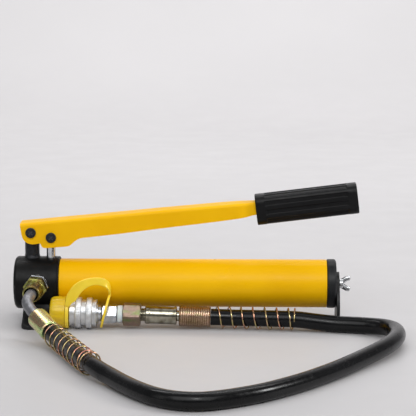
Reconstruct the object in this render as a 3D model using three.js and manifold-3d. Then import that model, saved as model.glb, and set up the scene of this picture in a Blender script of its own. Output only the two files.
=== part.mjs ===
// Hydraulic hand pump with its hose and screw coupler, in millimetres, +Z up.
// The pump stands on the plane Z = 0. +X runs along the reservoir, from the pump head to the rear cap.
// The origin is the middle of the front foot's underside, straight below the middle of the pump head.
import * as THREE from 'three';
import { mergeVertices } from 'three/addons/utils/BufferGeometryUtils.js';
import Module from 'manifold-3d';

const wasm = await Module();
wasm.setup();

// ---------------------------------------------------------------- driving sizes

const GAP = 0.3;                  // between pieces that touch
const RUN = 0.35;                 // radial clearance round a shaft that moves
const FINE = 32;                  // sides of the large turned pieces
const ROUND = 18;                 // sides of the fittings
const SMALL = 10;                 // sides of pins, balls and wires

const TANK_DIAMETER = 51;
const HEAD_DIAMETER = TANK_DIAMETER + 5;
const CAP_DIAMETER = TANK_DIAMETER + 1;
const AXIS_HEIGHT = HEAD_DIAMETER / 2 + 13; // pump axis over the ground

const HEAD_LENGTH = 47.5;
const HEAD_RIM = 2.4;             // rounded front rim
const SPIGOT_LENGTH = 9;          // centres the reservoir tube
const NECK_DIAMETER = 34;         // holds the bladder
const NECK_LENGTH = 13;
const PASSAGE_DROP = 8;           // oil passages below the pump axis
const PASSAGE_RADIUS = 2.2;

const TANK_WALL = 2;
const TANK_LENGTH = 283.5;
const CAP_LENGTH = 9.8;
const CAP_SPIGOT = 11;
const RING_SECTION = 2.6;         // O-rings of the head and the cap

const BLADDER_WALL = 1.4;
const BLADDER_CLEARANCE = 2;      // bladder to reservoir wall
const CLAMP_WIDTH = 6;
const CLAMP_THICKNESS = 1.4;

const FOOT_HALF_WIDTH = 48;
const FOOT_LENGTH = 28;
const FOOT_EDGE = 3.5;            // thickness at the tips
const FOOT_CORNER = 9;
const SADDLE_HALF_WIDTH = (HEAD_DIAMETER * 5) / 14;
const FOOT_SCREW_SPACING = 24;
const FOOT_SCREW_RADIUS = 3;
const FOOT_SCREW_BITE = 9;        // thread length in the head

const BRACKET_THICKNESS = 3.2;
const BRACKET_HALF_WIDTH = 28;
const BRACKET_TOP_RADIUS = 12.5;
const BRACKET_SHOULDER = 15;      // height where the sides turn vertical
const WING_THREAD_RADIUS = 4;
const WING_HUB_RADIUS = 5;
const WING_HUB_LENGTH = 4.6;
const WING_REACH = 13;
const WING_THICKNESS = 2.4;

const POST_X = -5.7;              // fulcrum post from the middle of the head
const POST_DIAMETER = 15.7;
const POST_FLARE = 17.5;
const POST_SCREW_RADIUS = 6;
const POST_SCREW_LENGTH = 13;
const FULCRUM_HEIGHT = 56;        // fulcrum pin over the pump axis
const TONGUE_RADIUS = 7;
const PIN_RADIUS = 4;
const PIN_HEAD_RADIUS = 5.5;
const PIN_HEAD_THICKNESS = 2;
const CLIP_THICKNESS = 1.2;

const PLUNGER_OFFSET = 20;        // plunger axis from the fulcrum post
const PLUNGER_DIAMETER = 10;
const PLUNGER_DEPTH = 4;          // plunger end below the pump axis at rest
const PIN_REACH = 22;             // fulcrum pin to plunger pin
const PIN_ANGLE = -13.5;          // degrees, lever at rest
const LEVER_RAISED = 42;          // degrees that the lever swings up from rest
const SLOT_PLAY = 0.25;           // pin in the slot of the plunger eye
const EYE_WALL = 4.4;
const EYE_THICKNESS = 13;
const GLAND_DIAMETER = 14;
const GLAND_LENGTH = 8;
const SEAL_LENGTH = 4;

const LEVER_WIDTH = 26;
const LEVER_SHEET = 2.5;
const LEVER_END_X = 326;          // end of the tang, inside the grip
const TANG_WIDTH = 19;
const TANG_START_X = 236;
const GRIP_START_X = 232.4;
const GRIP_START_HEIGHT = 79.6;   // grip centreline over the pump axis
const GRIP_TILT = 7;              // degrees
const GRIP_LENGTH = 108;
const GRIP_HEIGHT = 32;
const GRIP_WIDTH = 27;
const GRIP_CORNER = 9;
const GRIP_CHAMFER = 1.2;

const RELEASE_X = -9;
const RELEASE_RADIUS = 4;
const RELEASE_GLAND_DIAMETER = 15;
const KNOB_DIAMETER = 24;
const KNOB_LENGTH = 13;
const RELIEF_X = 3.5;
const RELIEF_RISE = 7;
const VALVE_BORE = 8.8;           // bores of the ball valves
const VALVE_WIRE = 0.55;

const PORT_X = 1.8;               // hose port on the head's -Y side
const PORT_ANGLE = 5.5;           // degrees above the level of the pump axis
const PORT_DIRECTION = new THREE.Vector3(-0.093, -0.989, -0.117).normalize();
const PORT_THREAD_RADIUS = 5.6;
const PORT_HEX = 22;
const PORT_HEX_LENGTH = 3.9;
const SWIVEL_HEX = 22;
const SWIVEL_HEX_LENGTH = 9;
const SWIVEL_LENGTH = 26.6;
const PIPE_DIAMETER = 11.6;

const HOSE_DIAMETER = 17.2;
const NEAR_FERRULE_DIAMETER = 21.5;
const NEAR_FERRULE_LENGTH = 32;
const GUARD_DIAMETER = 23.8;
const GUARD_WIRE = 1.5;

const COUPLER_X = 17;             // closed end of the dust cap
const COUPLER_SLOPE = 1.7;        // degrees, down towards the hose
const DUST_CAP_DIAMETER = 33.2;
const DUST_CAP_LENGTH = 16;
const DUST_CAP_WALL = 3;
const STRAP_EYE_DIAMETER = 34;
const STRAP_EYE_LENGTH = 3.6;
const STRAP_THICKNESS = 2;
const COLLAR_DIAMETER = 26.6;
const COLLAR_RING_DIAMETER = 32.6;
const COLLAR_LENGTH = 28.4;
const COLLAR_BORE = 22.4;
const NOSE_DIAMETER = 19.6;
const SOCKET_DIAMETER = 13;
const REAR_HEX = 18;
const REAR_HEX_LENGTH = 15.8;
const TAPE_LENGTH = 5.4;
const ADAPTER_HEX = 22;
const ADAPTER_HEX_LENGTH = 18.6;
const TAIL_DIAMETER = 19;
const TAIL_LENGTH = 33.4;
const FAR_FERRULE_DIAMETER = 22;
const FAR_FERRULE_LENGTH = 33;

// Route of the hose between the ends of its two ferrules.
const HOSE_ROUTE = [
  [25.7, -120.6, 15.8],
  [29.6, -126.6, 13.7],
  [36.6, -141, 12.5],
  [44.3, -160, 12.4],
  [52.4, -180.3, 12.4],
  [60.7, -201.5, 12.5],
  [70.3, -224, 12.4],
  [79.6, -244.1, 12.2],
  [88.2, -258.1, 11],
  [96.6, -270, 9.8],
  [111.1, -293.5, 8.9],
  [127.2, -317.9, 8.8],
  [144.3, -337.2, 8.8],
  [162.6, -348, 8.8],
  [182.1, -350.2, 8.8],
  [199.6, -344.2, 8.8],
  [217.3, -334.3, 8.8],
  [235.1, -321.9, 8.8],
  [253.4, -304.9, 8.8],
  [272, -285.1, 8.8],
  [291.2, -260.9, 8.8],
  [311.1, -233.1, 8.9],
  [326.5, -210, 9.4],
  [340.3, -188.7, 10],
  [353.4, -167.8, 10.8],
  [363.5, -148.9, 11.4],
  [371.6, -127.2, 11.8],
  [375.2, -104.2, 11.6],
  [373, -84.4, 11],
  [365.3, -70.6, 10.2],
  [350.6, -60.5, 9.2],
  [333.3, -54.7, 8.8],
  [315.8, -51.9, 8.9],
  [297, -49.5, 10.4],
  [275, -46.5, 12.3],
  [255, -44, 12.4],
  [235, -42, 12.4],
];
const NEAR_GUARD_SPAN = [3, 126]; // along the hose, from its near end
const FAR_GUARD_SPAN = [4, 89];   // along the hose, from its far end
const FERRULE_DIRECTION = new THREE.Vector3(0.52, -0.8, -0.29).normalize();

// ---------------------------------------------------------------- materials

function finish(color, roughness, metalness) {
  return new THREE.MeshStandardMaterial({ color, roughness, metalness });
}

const yellowPaint = finish(0xe6ae0e, 0.35, 0);
const blackPaint = finish(0x252525, 0.5, 0);
const blackOxide = finish(0x1c1c1e, 0.55, 0.6);
const chrome = finish(0xd8dadc, 0.12, 1);
const steel = finish(0xa9acb0, 0.35, 1);
const spring = finish(0x8f9094, 0.3, 1);
const zincSilver = finish(0xb9bdc2, 0.3, 1);
const zincYellow = finish(0xa39a62, 0.35, 1);
const pipeGrey = finish(0x7f8184, 0.5, 0.6);
const gripPlastic = finish(0x202022, 0.55, 0);
const capPlastic = finish(0xe8c21a, 0.45, 0);
const hoseRubber = finish(0x1b1b1c, 0.5, 0);
const sealRubber = finish(0x161616, 0.7, 0);
const bladderRubber = finish(0x2a2723, 0.75, 0);
const ptfe = finish(0xf1f1ee, 0.6, 0);
const brass = finish(0xb08d4a, 0.4, 1);

// ---------------------------------------------------------------- solids and geometry

function signedVolume(position, triangles) {
  const [a, b, c] = [new THREE.Vector3(), new THREE.Vector3(), new THREE.Vector3()];
  let volume = 0;
  for (let i = 0; i < triangles.length; i += 3) {
    a.fromArray(position, 3 * triangles[i]);
    b.fromArray(position, 3 * triangles[i + 1]);
    c.fromArray(position, 3 * triangles[i + 2]);
    volume += a.dot(b.cross(c)) / 6;
  }
  return volume;
}

/** Turns a closed geometry into a solid, whichever way its faces point. */
function solid(geometry) {
  const bare = geometry.clone();
  bare.deleteAttribute('normal');
  bare.deleteAttribute('uv');
  const merged = mergeVertices(bare, 1e-4);
  const position = merged.attributes.position.array;
  const corners = merged.index.array;
  const triangles = [];
  for (let i = 0; i < corners.length; i += 3) {
    const [a, b, c] = [corners[i], corners[i + 1], corners[i + 2]];
    if (a !== b && b !== c && c !== a) triangles.push(a, b, c);
  }
  const inwards = signedVolume(position, triangles) < 0;
  if (inwards) triangles.reverse();
  return new wasm.Manifold(new wasm.Mesh({
    numProp: 3,
    vertProperties: new Float32Array(position),
    triVerts: new Uint32Array(triangles),
  }));
}

function geometryOf(body) {
  const { vertProperties, triVerts } = body.getMesh();
  const geometry = new THREE.BufferGeometry();
  geometry.setAttribute('position', new THREE.BufferAttribute(vertProperties, 3));
  geometry.setIndex(new THREE.BufferAttribute(triVerts, 1));
  geometry.computeVertexNormals();
  return geometry;
}

/** Adds a named mesh of one geometry, less the cutters, to a group. */
function piece(group, name, material, geometry, cutters = []) {
  let body = solid(geometry);
  for (const cutter of cutters) body = body.subtract(solid(cutter));
  const mesh = new THREE.Mesh(geometryOf(body), material);
  mesh.name = name;
  group.add(mesh);
  return mesh;
}

function joined(...geometries) {
  return geometries.map(solid).reduce((whole, part) => whole.add(part));
}

function joinedPiece(group, name, material, geometries, cutters = []) {
  return piece(group, name, material, geometryOf(joined(...geometries)), cutters);
}

/** Points of [radius, distance] turned about an axis named by the letter. */
function turned(points, sides = ROUND, axis = 'x', twist = 0) {
  const profile = points.map(([radius, along]) => new THREE.Vector2(radius, along));
  const geometry = new THREE.LatheGeometry(profile, sides).rotateY(twist);
  if (axis === 'x') geometry.rotateZ(-Math.PI / 2);
  if (axis === 'z') geometry.rotateX(Math.PI / 2);
  return geometry;
}

function rod(radius, from, to, sides = ROUND, axis = 'x') {
  return turned([[0, from], [radius, from], [radius, to], [0, to]], sides, axis);
}

function ring(outer, inner, from, to, sides = ROUND, axis = 'x') {
  return turned([[inner, from], [outer, from], [outer, to], [inner, to], [inner, from]], sides, axis);
}

function sealRing(radius, section, at) {
  const profile = [];
  const corners = 6;
  for (let i = 0; i <= corners; i += 1) {
    const angle = (2 * Math.PI * (i % corners)) / corners;
    profile.push([radius + section * Math.cos(angle), at + section * Math.sin(angle)]);
  }
  return turned(profile, FINE);
}

/** A hexagon with chamfered corners, two of them on the local Y axis. */
function hexagon(acrossFlats, from, to) {
  const corner = acrossFlats / Math.sqrt(3);
  const prism = solid(turned([[0, from], [corner, from], [corner, to], [0, to]], 6, 'x', Math.PI / 6));
  const chamfer = corner - acrossFlats / 2;
  const flat = acrossFlats / 2 + chamfer * 0.2;
  const barrel = [[0, from], [flat, from], [corner, from + chamfer], [corner, to - chamfer],
    [flat, to], [0, to]];
  return geometryOf(prism.intersect(solid(turned(barrel, ROUND))));
}

/** A flat outline of [across, up] points, extruded along X, Y or Z about the middle plane. */
function plate(outline, thickness, plane = 'xz') {
  const isShape = outline instanceof THREE.Shape;
  const shape = isShape ? outline : new THREE.Shape(outline.map((p) => new THREE.Vector2(...p)));
  const geometry = new THREE.ExtrudeGeometry(shape, { depth: thickness, bevelEnabled: false,
    curveSegments: 8 });
  geometry.translate(0, 0, -thickness / 2);
  if (plane === 'xz') geometry.rotateX(Math.PI / 2);
  if (plane === 'yz') geometry.rotateX(Math.PI / 2).rotateZ(Math.PI / 2);
  return geometry;
}

function circle(radius, sides) {
  const points = [];
  for (let i = 0; i < sides; i += 1) {
    const angle = (2 * Math.PI * i) / sides;
    points.push(new THREE.Vector2(radius * Math.cos(angle), radius * Math.sin(angle)));
  }
  return new THREE.Shape(points);
}

function tube(curve, radius, sides, steps) {
  return new THREE.ExtrudeGeometry(circle(radius, sides), { steps, extrudePath: curve,
    bevelEnabled: false });
}

/** A helix wound round a base curve between two distances along it. */
class Coil extends THREE.Curve {
  constructor(base, radius, span, turns) {
    super();
    Object.assign(this, { base, radius, span, turns });
  }

  getPoint(t, target = new THREE.Vector3()) {
    const [from, to] = this.span;
    const at = (from + (to - from) * t) / this.base.getLength();
    const along = this.base.getTangentAt(at);
    const side = new THREE.Vector3(0, 0, 1).cross(along).normalize();
    const up = along.clone().cross(side);
    const angle = 2 * Math.PI * this.turns * t;
    return target.copy(this.base.getPointAt(at))
      .addScaledVector(side, this.radius * Math.cos(angle))
      .addScaledVector(up, this.radius * Math.sin(angle));
  }
}

/** A compression spring along local X, or along Y for the valves on the far side. */
function compressionSpring(radius, wire, from, to, turns, axis = 'x') {
  const unit = axis === 'x' ? new THREE.Vector3(1, 0, 0) : new THREE.Vector3(0, 1, 0);
  const line = new THREE.LineCurve3(unit.clone().multiplyScalar(from), unit.clone().multiplyScalar(to));
  const span = [wire, to - from - wire];
  return tube(new Coil(line, radius, span, turns), wire, 4, turns * 8);
}

function ball(radius) {
  return new THREE.SphereGeometry(radius, SMALL, 6);
}

/** A group whose local X axis starts at a point and runs along a direction. */
function groupAlong(point, direction) {
  const group = new THREE.Group();
  group.position.copy(point);
  group.quaternion.setFromUnitVectors(new THREE.Vector3(1, 0, 0), direction);
  group.updateMatrixWorld(true);
  return group;
}

// ---------------------------------------------------------------- places that several pieces share

const pump = new THREE.Group();
const pumpBody = new THREE.Group();
pumpBody.position.z = AXIS_HEIGHT;
pump.add(pumpBody);

const headRadius = HEAD_DIAMETER / 2;
const headFront = -HEAD_LENGTH / 2;
const headBack = HEAD_LENGTH / 2;
const tankRadius = TANK_DIAMETER / 2;
const tankBore = tankRadius - TANK_WALL;
const spigotRadius = tankBore - GAP;
const spigotEnd = headBack + SPIGOT_LENGTH;
const neckRadius = NECK_DIAMETER / 2;
const neckEnd = spigotEnd + NECK_LENGTH;
const tankStart = headBack + GAP;
const tankEnd = tankStart + TANK_LENGTH;
const capStart = tankEnd + GAP;
const capEnd = capStart + CAP_LENGTH;
const capSpigotStart = capStart - CAP_SPIGOT;
const bracketStart = capEnd + GAP;
const bracketEnd = bracketStart + BRACKET_THICKNESS;
const plungerX = POST_X + PLUNGER_OFFSET;
const plungerBore = PLUNGER_DIAMETER / 2 + RUN;
const glandRadius = GLAND_DIAMETER / 2;
const glandTop = headRadius - 2;
const glandBottom = glandTop - GLAND_LENGTH;
const sealBottom = glandBottom - GAP - SEAL_LENGTH;
const passageLevel = -PASSAGE_DROP;
const postSeat = headRadius - 1.7;
const pinAngle = THREE.MathUtils.degToRad(PIN_ANGLE);
const plungerPinX = POST_X + PIN_REACH * Math.cos(pinAngle);
const plungerPinHeight = FULCRUM_HEIGHT + PIN_REACH * Math.sin(pinAngle);
const valveBore = VALVE_BORE / 2;
const ballRadius = valveBore - 1;
const deliverySeat = plungerX - plungerBore - 5;
const suctionSeat = neckEnd - 9;
const suctionBall = suctionSeat - GAP - ballRadius;

const portAngle = THREE.MathUtils.degToRad(PORT_ANGLE);
const portPoint = new THREE.Vector3(
  PORT_X,
  -headRadius * Math.cos(portAngle),
  AXIS_HEIGHT + headRadius * Math.sin(portAngle),
);
const portGroup = groupAlong(portPoint, PORT_DIRECTION);
pump.add(portGroup);

/** Moves a geometry from the port's own frame to the pump body's frame. */
function fromPort(geometry) {
  return geometry.applyMatrix4(portGroup.matrixWorld).translate(0, 0, -AXIS_HEIGHT);
}

// ---------------------------------------------------------------- pump head and its valves

function makeHead() {
  const rim = HEAD_RIM;
  const groove = RING_SECTION * 0.75;
  const grooveAt = headBack + SPIGOT_LENGTH / 2;
  const profile = [
    [0, headFront], [headRadius - rim, headFront], [headRadius - rim * 0.3, headFront + rim * 0.3],
    [headRadius, headFront + rim], [headRadius, headBack - 0.8], [headRadius - 0.8, headBack],
    [spigotRadius, headBack], [spigotRadius, grooveAt - RING_SECTION * 0.6],
    [spigotRadius - groove, grooveAt - RING_SECTION * 0.6],
    [spigotRadius - groove, grooveAt + RING_SECTION * 0.6], [spigotRadius, grooveAt + RING_SECTION * 0.6],
    [spigotRadius, spigotEnd], [neckRadius, spigotEnd], [neckRadius, neckEnd], [0, neckEnd],
  ];
  const screwTop = FOOT_SCREW_BITE - headRadius;
  const cutters = [
    rod(plungerBore, passageLevel - 3, headRadius + 1, ROUND, 'z').translate(plungerX, 0, 0),
    rod(glandRadius + GAP, sealBottom - GAP, headRadius + 1, ROUND, 'z').translate(plungerX, 0, 0),
    rod(POST_SCREW_RADIUS + GAP, postSeat - POST_SCREW_LENGTH - 1, headRadius + 1, ROUND,
      'z').translate(POST_X, 0, 0),
    rod(POST_FLARE / 2 + GAP, postSeat, headRadius + 1, ROUND, 'z').translate(POST_X, 0, 0),
    rod(PASSAGE_RADIUS, deliverySeat - 1, suctionBall, SMALL).translate(0, 0, passageLevel),
    rod(valveBore, suctionBall - ballRadius - 2, neckEnd + 1, ROUND).translate(0, 0, passageLevel),
    rod(valveBore, headFront - 1, deliverySeat, ROUND).translate(0, 0, passageLevel),
    rod(valveBore + 2, headFront - 1, headFront + 9.8, ROUND).translate(0, 0, passageLevel),
    rod(RELEASE_RADIUS + GAP, -3, headRadius + 1, ROUND, 'y').translate(RELEASE_X, 0, passageLevel),
    rod(RELEASE_GLAND_DIAMETER / 2 + GAP, headRadius - 10, headRadius + 1, ROUND, 'y')
      .translate(RELEASE_X, 0, passageLevel),
    rod(valveBore - 0.6, 8, headRadius + 1, ROUND, 'y').translate(RELIEF_X, 0, RELIEF_RISE),
    rod(PASSAGE_RADIUS, -16, 2, SMALL).applyMatrix4(groupAlong(
      new THREE.Vector3(RELIEF_X, 9, RELIEF_RISE),
      new THREE.Vector3(0.4, 0.45, 0.8).normalize(),
    ).matrixWorld),
    fromPort(rod(PORT_THREAD_RADIUS + GAP, -15, 1)),
    fromPort(rod(PORT_HEX / Math.sqrt(3) + 1.5, -2.4, 12)),
    fromPort(rod(PASSAGE_RADIUS, -1, 22, SMALL).applyMatrix4(groupAlong(
      new THREE.Vector3(-14, 0, 0),
      new THREE.Vector3(-0.62, 0.55, -0.56).normalize(),
    ).matrixWorld)),
  ];
  for (const side of [-1, 1]) {
    const hole = rod(FOOT_SCREW_RADIUS + GAP, -headRadius - 1, screwTop, SMALL, 'z');
    cutters.push(hole.translate(0, (side * FOOT_SCREW_SPACING) / 2, 0));
  }
  piece(pumpBody, 'pump_head', blackPaint, turned(profile, FINE), cutters);
  piece(pumpBody, 'head_oring', sealRubber, sealRing(spigotRadius - groove + RING_SECTION * 0.45,
    RING_SECTION * 0.4, grooveAt));
}

function makeDeliveryValve() {
  const level = (geometry) => geometry.translate(0, 0, passageLevel);
  const ballAt = deliverySeat - GAP - ballRadius;
  piece(pumpBody, 'delivery_ball', steel, level(ball(ballRadius).translate(ballAt, 0, 0)));
  const springEnd = ballAt - ballRadius - GAP;
  const plugInner = headFront + 9.5;
  piece(pumpBody, 'delivery_spring', spring,
    level(compressionSpring(valveBore - 1.4, VALVE_WIRE, plugInner + GAP, springEnd, 4)));
  const plug = rod(valveBore + 2 - GAP, headFront + 0.4, plugInner);
  piece(pumpBody, 'delivery_plug', blackOxide, level(plug),
    [level(hexagon(6, headFront - 1, headFront + 5))]);
}

function makeSuctionValve() {
  const level = (geometry) => geometry.translate(0, 0, passageLevel);
  piece(pumpBody, 'suction_ball', steel, level(ball(ballRadius).translate(suctionBall, 0, 0)));
  const seatRadius = valveBore - GAP;
  const seatEnd = neckEnd + 6;
  piece(pumpBody, 'suction_seat', brass, level(ring(seatRadius, PASSAGE_RADIUS, suctionSeat, seatEnd)));
  const tubeStart = neckEnd + GAP;
  const tubeEnd = tankEnd - 60;
  const tubeBore = seatRadius + GAP;
  const tubeRadius = tubeBore + 1;
  piece(pumpBody, 'suction_tube', ptfe, level(ring(tubeRadius, tubeBore, tubeStart, tubeEnd, SMALL)));
  const filter = turned([[0, tubeEnd + 3], [tubeRadius + 3, tubeEnd + 3], [tubeRadius + 3, tubeEnd - 18],
    [tubeRadius + GAP, tubeEnd - 18], [tubeRadius + GAP, tubeEnd + GAP], [0, tubeEnd + GAP]], SMALL);
  piece(pumpBody, 'suction_filter', brass, level(filter));
}

function makeReliefValve() {
  const place = (geometry) => geometry.translate(RELIEF_X, 0, RELIEF_RISE);
  const bore = valveBore - 0.6;
  const radius = bore - 1.2;
  const ballAt = 8 + GAP + radius;
  piece(pumpBody, 'relief_ball', steel, place(ball(radius).translate(0, ballAt, 0)));
  const springFrom = ballAt + radius + GAP;
  const screwFrom = headRadius - 9;
  piece(pumpBody, 'relief_spring', spring,
    place(compressionSpring(bore - 1.3, VALVE_WIRE, springFrom, screwFrom - GAP, 3, 'y')));
  const socket = hexagon(4, 0, 6).rotateZ(Math.PI / 2).translate(0, headRadius - 5.5, 0);
  piece(pumpBody, 'relief_screw', blackOxide,
    place(rod(bore - GAP, screwFrom, headRadius - 2.6, ROUND, 'y')), [place(socket)]);
}

function makeReleaseValve() {
  const place = (geometry) => geometry.translate(RELEASE_X, 0, passageLevel);
  const glandFrom = headRadius - 9.6;
  const glandTo = headRadius + 2;
  const knobFrom = glandTo + 1;
  const knobTo = knobFrom + KNOB_LENGTH;
  const tip = valveBore + 1;
  const spindle = turned([[0, tip], [RELEASE_RADIUS, tip + 3], [RELEASE_RADIUS, knobTo - 4],
    [0, knobTo - 4]], SMALL, 'y');
  piece(pumpBody, 'release_spindle', steel, place(spindle));
  const gland = ring(RELEASE_GLAND_DIAMETER / 2, RELEASE_RADIUS + RUN, glandFrom, glandTo, ROUND, 'y');
  piece(pumpBody, 'release_gland', blackOxide, place(gland));
  const outer = KNOB_DIAMETER / 2;
  const knob = turned([[0, knobFrom], [outer - 4, knobFrom], [outer, knobFrom + 3], [outer, knobTo - 1.2],
    [outer - 1.2, knobTo], [0, knobTo]], ROUND, 'y');
  const bore = rod(RELEASE_RADIUS + GAP, knobFrom - 1, knobTo - 4 + GAP, SMALL, 'y');
  const grips = [];
  const count = 10;
  for (let i = 0; i < count; i += 1) {
    const groove = rod(1.6, knobFrom - 1, knobTo + 1, 6, 'y').translate(outer + 0.5, 0, 0);
    grips.push(place(groove.rotateY((2 * Math.PI * i) / count)));
  }
  piece(pumpBody, 'release_knob', gripPlastic, place(knob), [place(bore), ...grips]);
}

// ---------------------------------------------------------------- plunger, post, pins

function makePlunger() {
  const place = (geometry) => geometry.translate(plungerX, 0, 0);
  const slotRadius = PIN_RADIUS + RUN + SLOT_PLAY;
  const eyeRadius = slotRadius + EYE_WALL;
  const highest = pinAngle + THREE.MathUtils.degToRad(LEVER_RAISED);
  const left = PIN_REACH * Math.cos(highest) - PLUNGER_OFFSET - SLOT_PLAY;
  const right = PIN_REACH - PLUNGER_OFFSET + SLOT_PLAY;
  const eye = new THREE.Shape();
  eye.absarc(right, 0, eyeRadius, 0, Math.PI / 2);
  eye.absarc(left, 0, eyeRadius, Math.PI / 2, Math.PI);
  eye.lineTo(left - eyeRadius, -eyeRadius * 0.4);
  eye.lineTo(-PLUNGER_DIAMETER / 2, -eyeRadius - 1.5);
  eye.lineTo(PLUNGER_DIAMETER / 2, -eyeRadius - 1.5);
  eye.lineTo(right + eyeRadius, -eyeRadius * 0.4);
  const slot = new THREE.Shape();
  slot.absarc(right, 0, slotRadius, -Math.PI / 2, Math.PI / 2);
  slot.absarc(left, 0, slotRadius, Math.PI / 2, 1.5 * Math.PI);
  const raised = (geometry) => geometry.translate(plungerX, 0, plungerPinHeight);
  joinedPiece(pumpBody, 'plunger', chrome, [
    place(rod(PLUNGER_DIAMETER / 2, -PLUNGER_DEPTH, plungerPinHeight - eyeRadius, ROUND, 'z')),
    raised(plate(eye, EYE_THICKNESS)),
  ], [raised(plate(slot, EYE_THICKNESS + 2))]);
  piece(pumpBody, 'plunger_gland', blackOxide,
    place(ring(glandRadius, plungerBore, glandBottom, glandTop, ROUND, 'z')));
  piece(pumpBody, 'plunger_seal', sealRubber,
    place(ring(glandRadius, plungerBore, sealBottom, glandBottom - GAP, ROUND, 'z')));
}

function makePost() {
  const place = (geometry) => geometry.translate(POST_X, 0, 0);
  const radius = POST_DIAMETER / 2;
  const seat = postSeat + GAP;
  const shoulder = FULCRUM_HEIGHT - PIN_HEAD_RADIUS - 3;
  const column = turned([[0, postSeat - POST_SCREW_LENGTH],
    [POST_SCREW_RADIUS, postSeat - POST_SCREW_LENGTH],
    [POST_SCREW_RADIUS, seat], [POST_FLARE / 2, seat], [POST_FLARE / 2, seat + 1.2], [radius, seat + 4],
    [radius, shoulder], [0, shoulder]], ROUND, 'z');
  const tongue = new THREE.Shape();
  tongue.absarc(0, 0, TONGUE_RADIUS, 0, Math.PI);
  tongue.lineTo(-TONGUE_RADIUS, shoulder - FULCRUM_HEIGHT - 1);
  tongue.lineTo(TONGUE_RADIUS, shoulder - FULCRUM_HEIGHT - 1);
  const thickness = 2 * Math.sqrt(radius ** 2 - TONGUE_RADIUS ** 2) + 5;
  const hole = rod(PIN_RADIUS + RUN, -radius, radius, ROUND, 'y').translate(POST_X, 0, FULCRUM_HEIGHT);
  joinedPiece(pumpBody, 'fulcrum_post', blackOxide,
    [place(column), plate(tongue, thickness).translate(POST_X, 0, FULCRUM_HEIGHT)], [hole]);
}

/** A headed pin through both cheeks of the lever, with a clip on its far end. */
function makePin(name, x, height) {
  const cheek = LEVER_WIDTH / 2;
  const headIn = -cheek - GAP;
  const clipIn = cheek + GAP;
  const clipOut = clipIn + CLIP_THICKNESS;
  const groove = PIN_RADIUS - 0.8;
  const pinEnd = clipOut + 1.8;
  const profile = [[0, headIn - PIN_HEAD_THICKNESS], [PIN_HEAD_RADIUS - 0.6, headIn - PIN_HEAD_THICKNESS],
    [PIN_HEAD_RADIUS, headIn - PIN_HEAD_THICKNESS + 0.6], [PIN_HEAD_RADIUS, headIn], [PIN_RADIUS, headIn],
    [PIN_RADIUS, clipIn - 0.1], [groove, clipIn - 0.1], [groove, clipOut + 0.1],
      [PIN_RADIUS, clipOut + 0.1],
    [PIN_RADIUS, pinEnd], [0, pinEnd]];
  piece(pumpBody, `${name}_pin`, blackOxide, turned(profile, ROUND, 'y').translate(x, 0, height));
  const clip = ring(PIN_RADIUS + 2.2, groove + 0.15, clipIn, clipOut, ROUND, 'y');
  const mouth = new THREE.BoxGeometry(2 * groove, 9, 12).translate(0, clipIn, -7);
  piece(pumpBody, `${name}_clip`, steel, clip.translate(x, 0, height), [mouth.translate(x, 0, height)]);
}

// ---------------------------------------------------------------- lever and grip

/** Outline of the lever's cheek: [x, height over the pump axis]. */
function cheekOutline() {
  const top = [[230.5, 88.6], [194, 85.8], [130, 79.8], [66, 73.4], [-17.4, 65.3]];
  const fulcrumLobe = [[-15.6, 53.6], [-14, 49.2], [-11.8, 46.4], [-8.7, 44.5], [-5.1, 43.6], [4, 44.2]];
  const plungerLobe = [[5.2, 42.2], [7.2, 39.9], [10.5, 39.5], [33.6, 41.5], [36.3, 42.7]];
  const flank = [[39.5, 45.8], [43, 48.6], [47.2, 50.2], [89, 55.3], [131, 61], [194, 69], [222, 73.2],
    [230.5, 75.2]];
  return [...top, ...fulcrumLobe, ...plungerLobe, ...flank];
}

function makeLever() {
  const outline = cheekOutline();
  const topLine = outline.slice(0, 5);
  const lowered = topLine.map(([x, z]) => [x, z - LEVER_SHEET]);
  lowered[0] = [TANG_START_X + 4, lowered[0][1] + 0.6];
  lowered[4] = [topLine[4][0] - 10, lowered[4][1] - 0.8];
  const hollow = [...lowered, [topLine[4][0] - 10, 0], [TANG_START_X + 4, 0]];
  const half = LEVER_WIDTH / 2;
  const tangHalf = TANG_WIDTH / 2;
  const shapeFromAbove = [[-40, half], [214, half], [GRIP_START_X - 1, tangHalf],
    [LEVER_END_X, tangHalf], [LEVER_END_X, -tangHalf], [GRIP_START_X - 1, -tangHalf], [214, -half],
      [-40, -half]];
  const tangTop = 88.6;
  const slope = Math.tan(THREE.MathUtils.degToRad(GRIP_TILT));
  const tangRise = (x) => (x - 230.5) * slope;
  const tang = [[222, tangTop - 1.2], [LEVER_END_X, tangTop + tangRise(LEVER_END_X)],
    [LEVER_END_X, 75.2 + tangRise(LEVER_END_X)], [230.5, 75.2], [222, 73.2]];
  const inside = solid(plate(hollow, LEVER_WIDTH - 2 * LEVER_SHEET));
  const channel = solid(plate(outline, LEVER_WIDTH)).subtract(inside);
  const narrowInside = solid(plate([[200, 40], [LEVER_END_X + 1, 40],
    [LEVER_END_X + 1, tangTop + tangRise(LEVER_END_X) - LEVER_SHEET], [222, tangTop - 1.2 - LEVER_SHEET],
    [200, 83.4]], TANG_WIDTH - 2 * LEVER_SHEET));
  const tangChannel = solid(plate(tang, TANG_WIDTH)).subtract(narrowInside);
  const necked = channel.intersect(solid(plate(shapeFromAbove, 400, 'xy')));
  const holes = [[POST_X, FULCRUM_HEIGHT], [plungerPinX, plungerPinHeight]].map(([x, z]) => (
    solid(rod(PIN_RADIUS + RUN, -half - 1, half + 1, ROUND, 'y').translate(x, 0, z))));
  const body = holes.reduce((left, hole) => left.subtract(hole), necked.add(tangChannel));
  piece(pumpBody, 'lever', yellowPaint, geometryOf(body));
}

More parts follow.
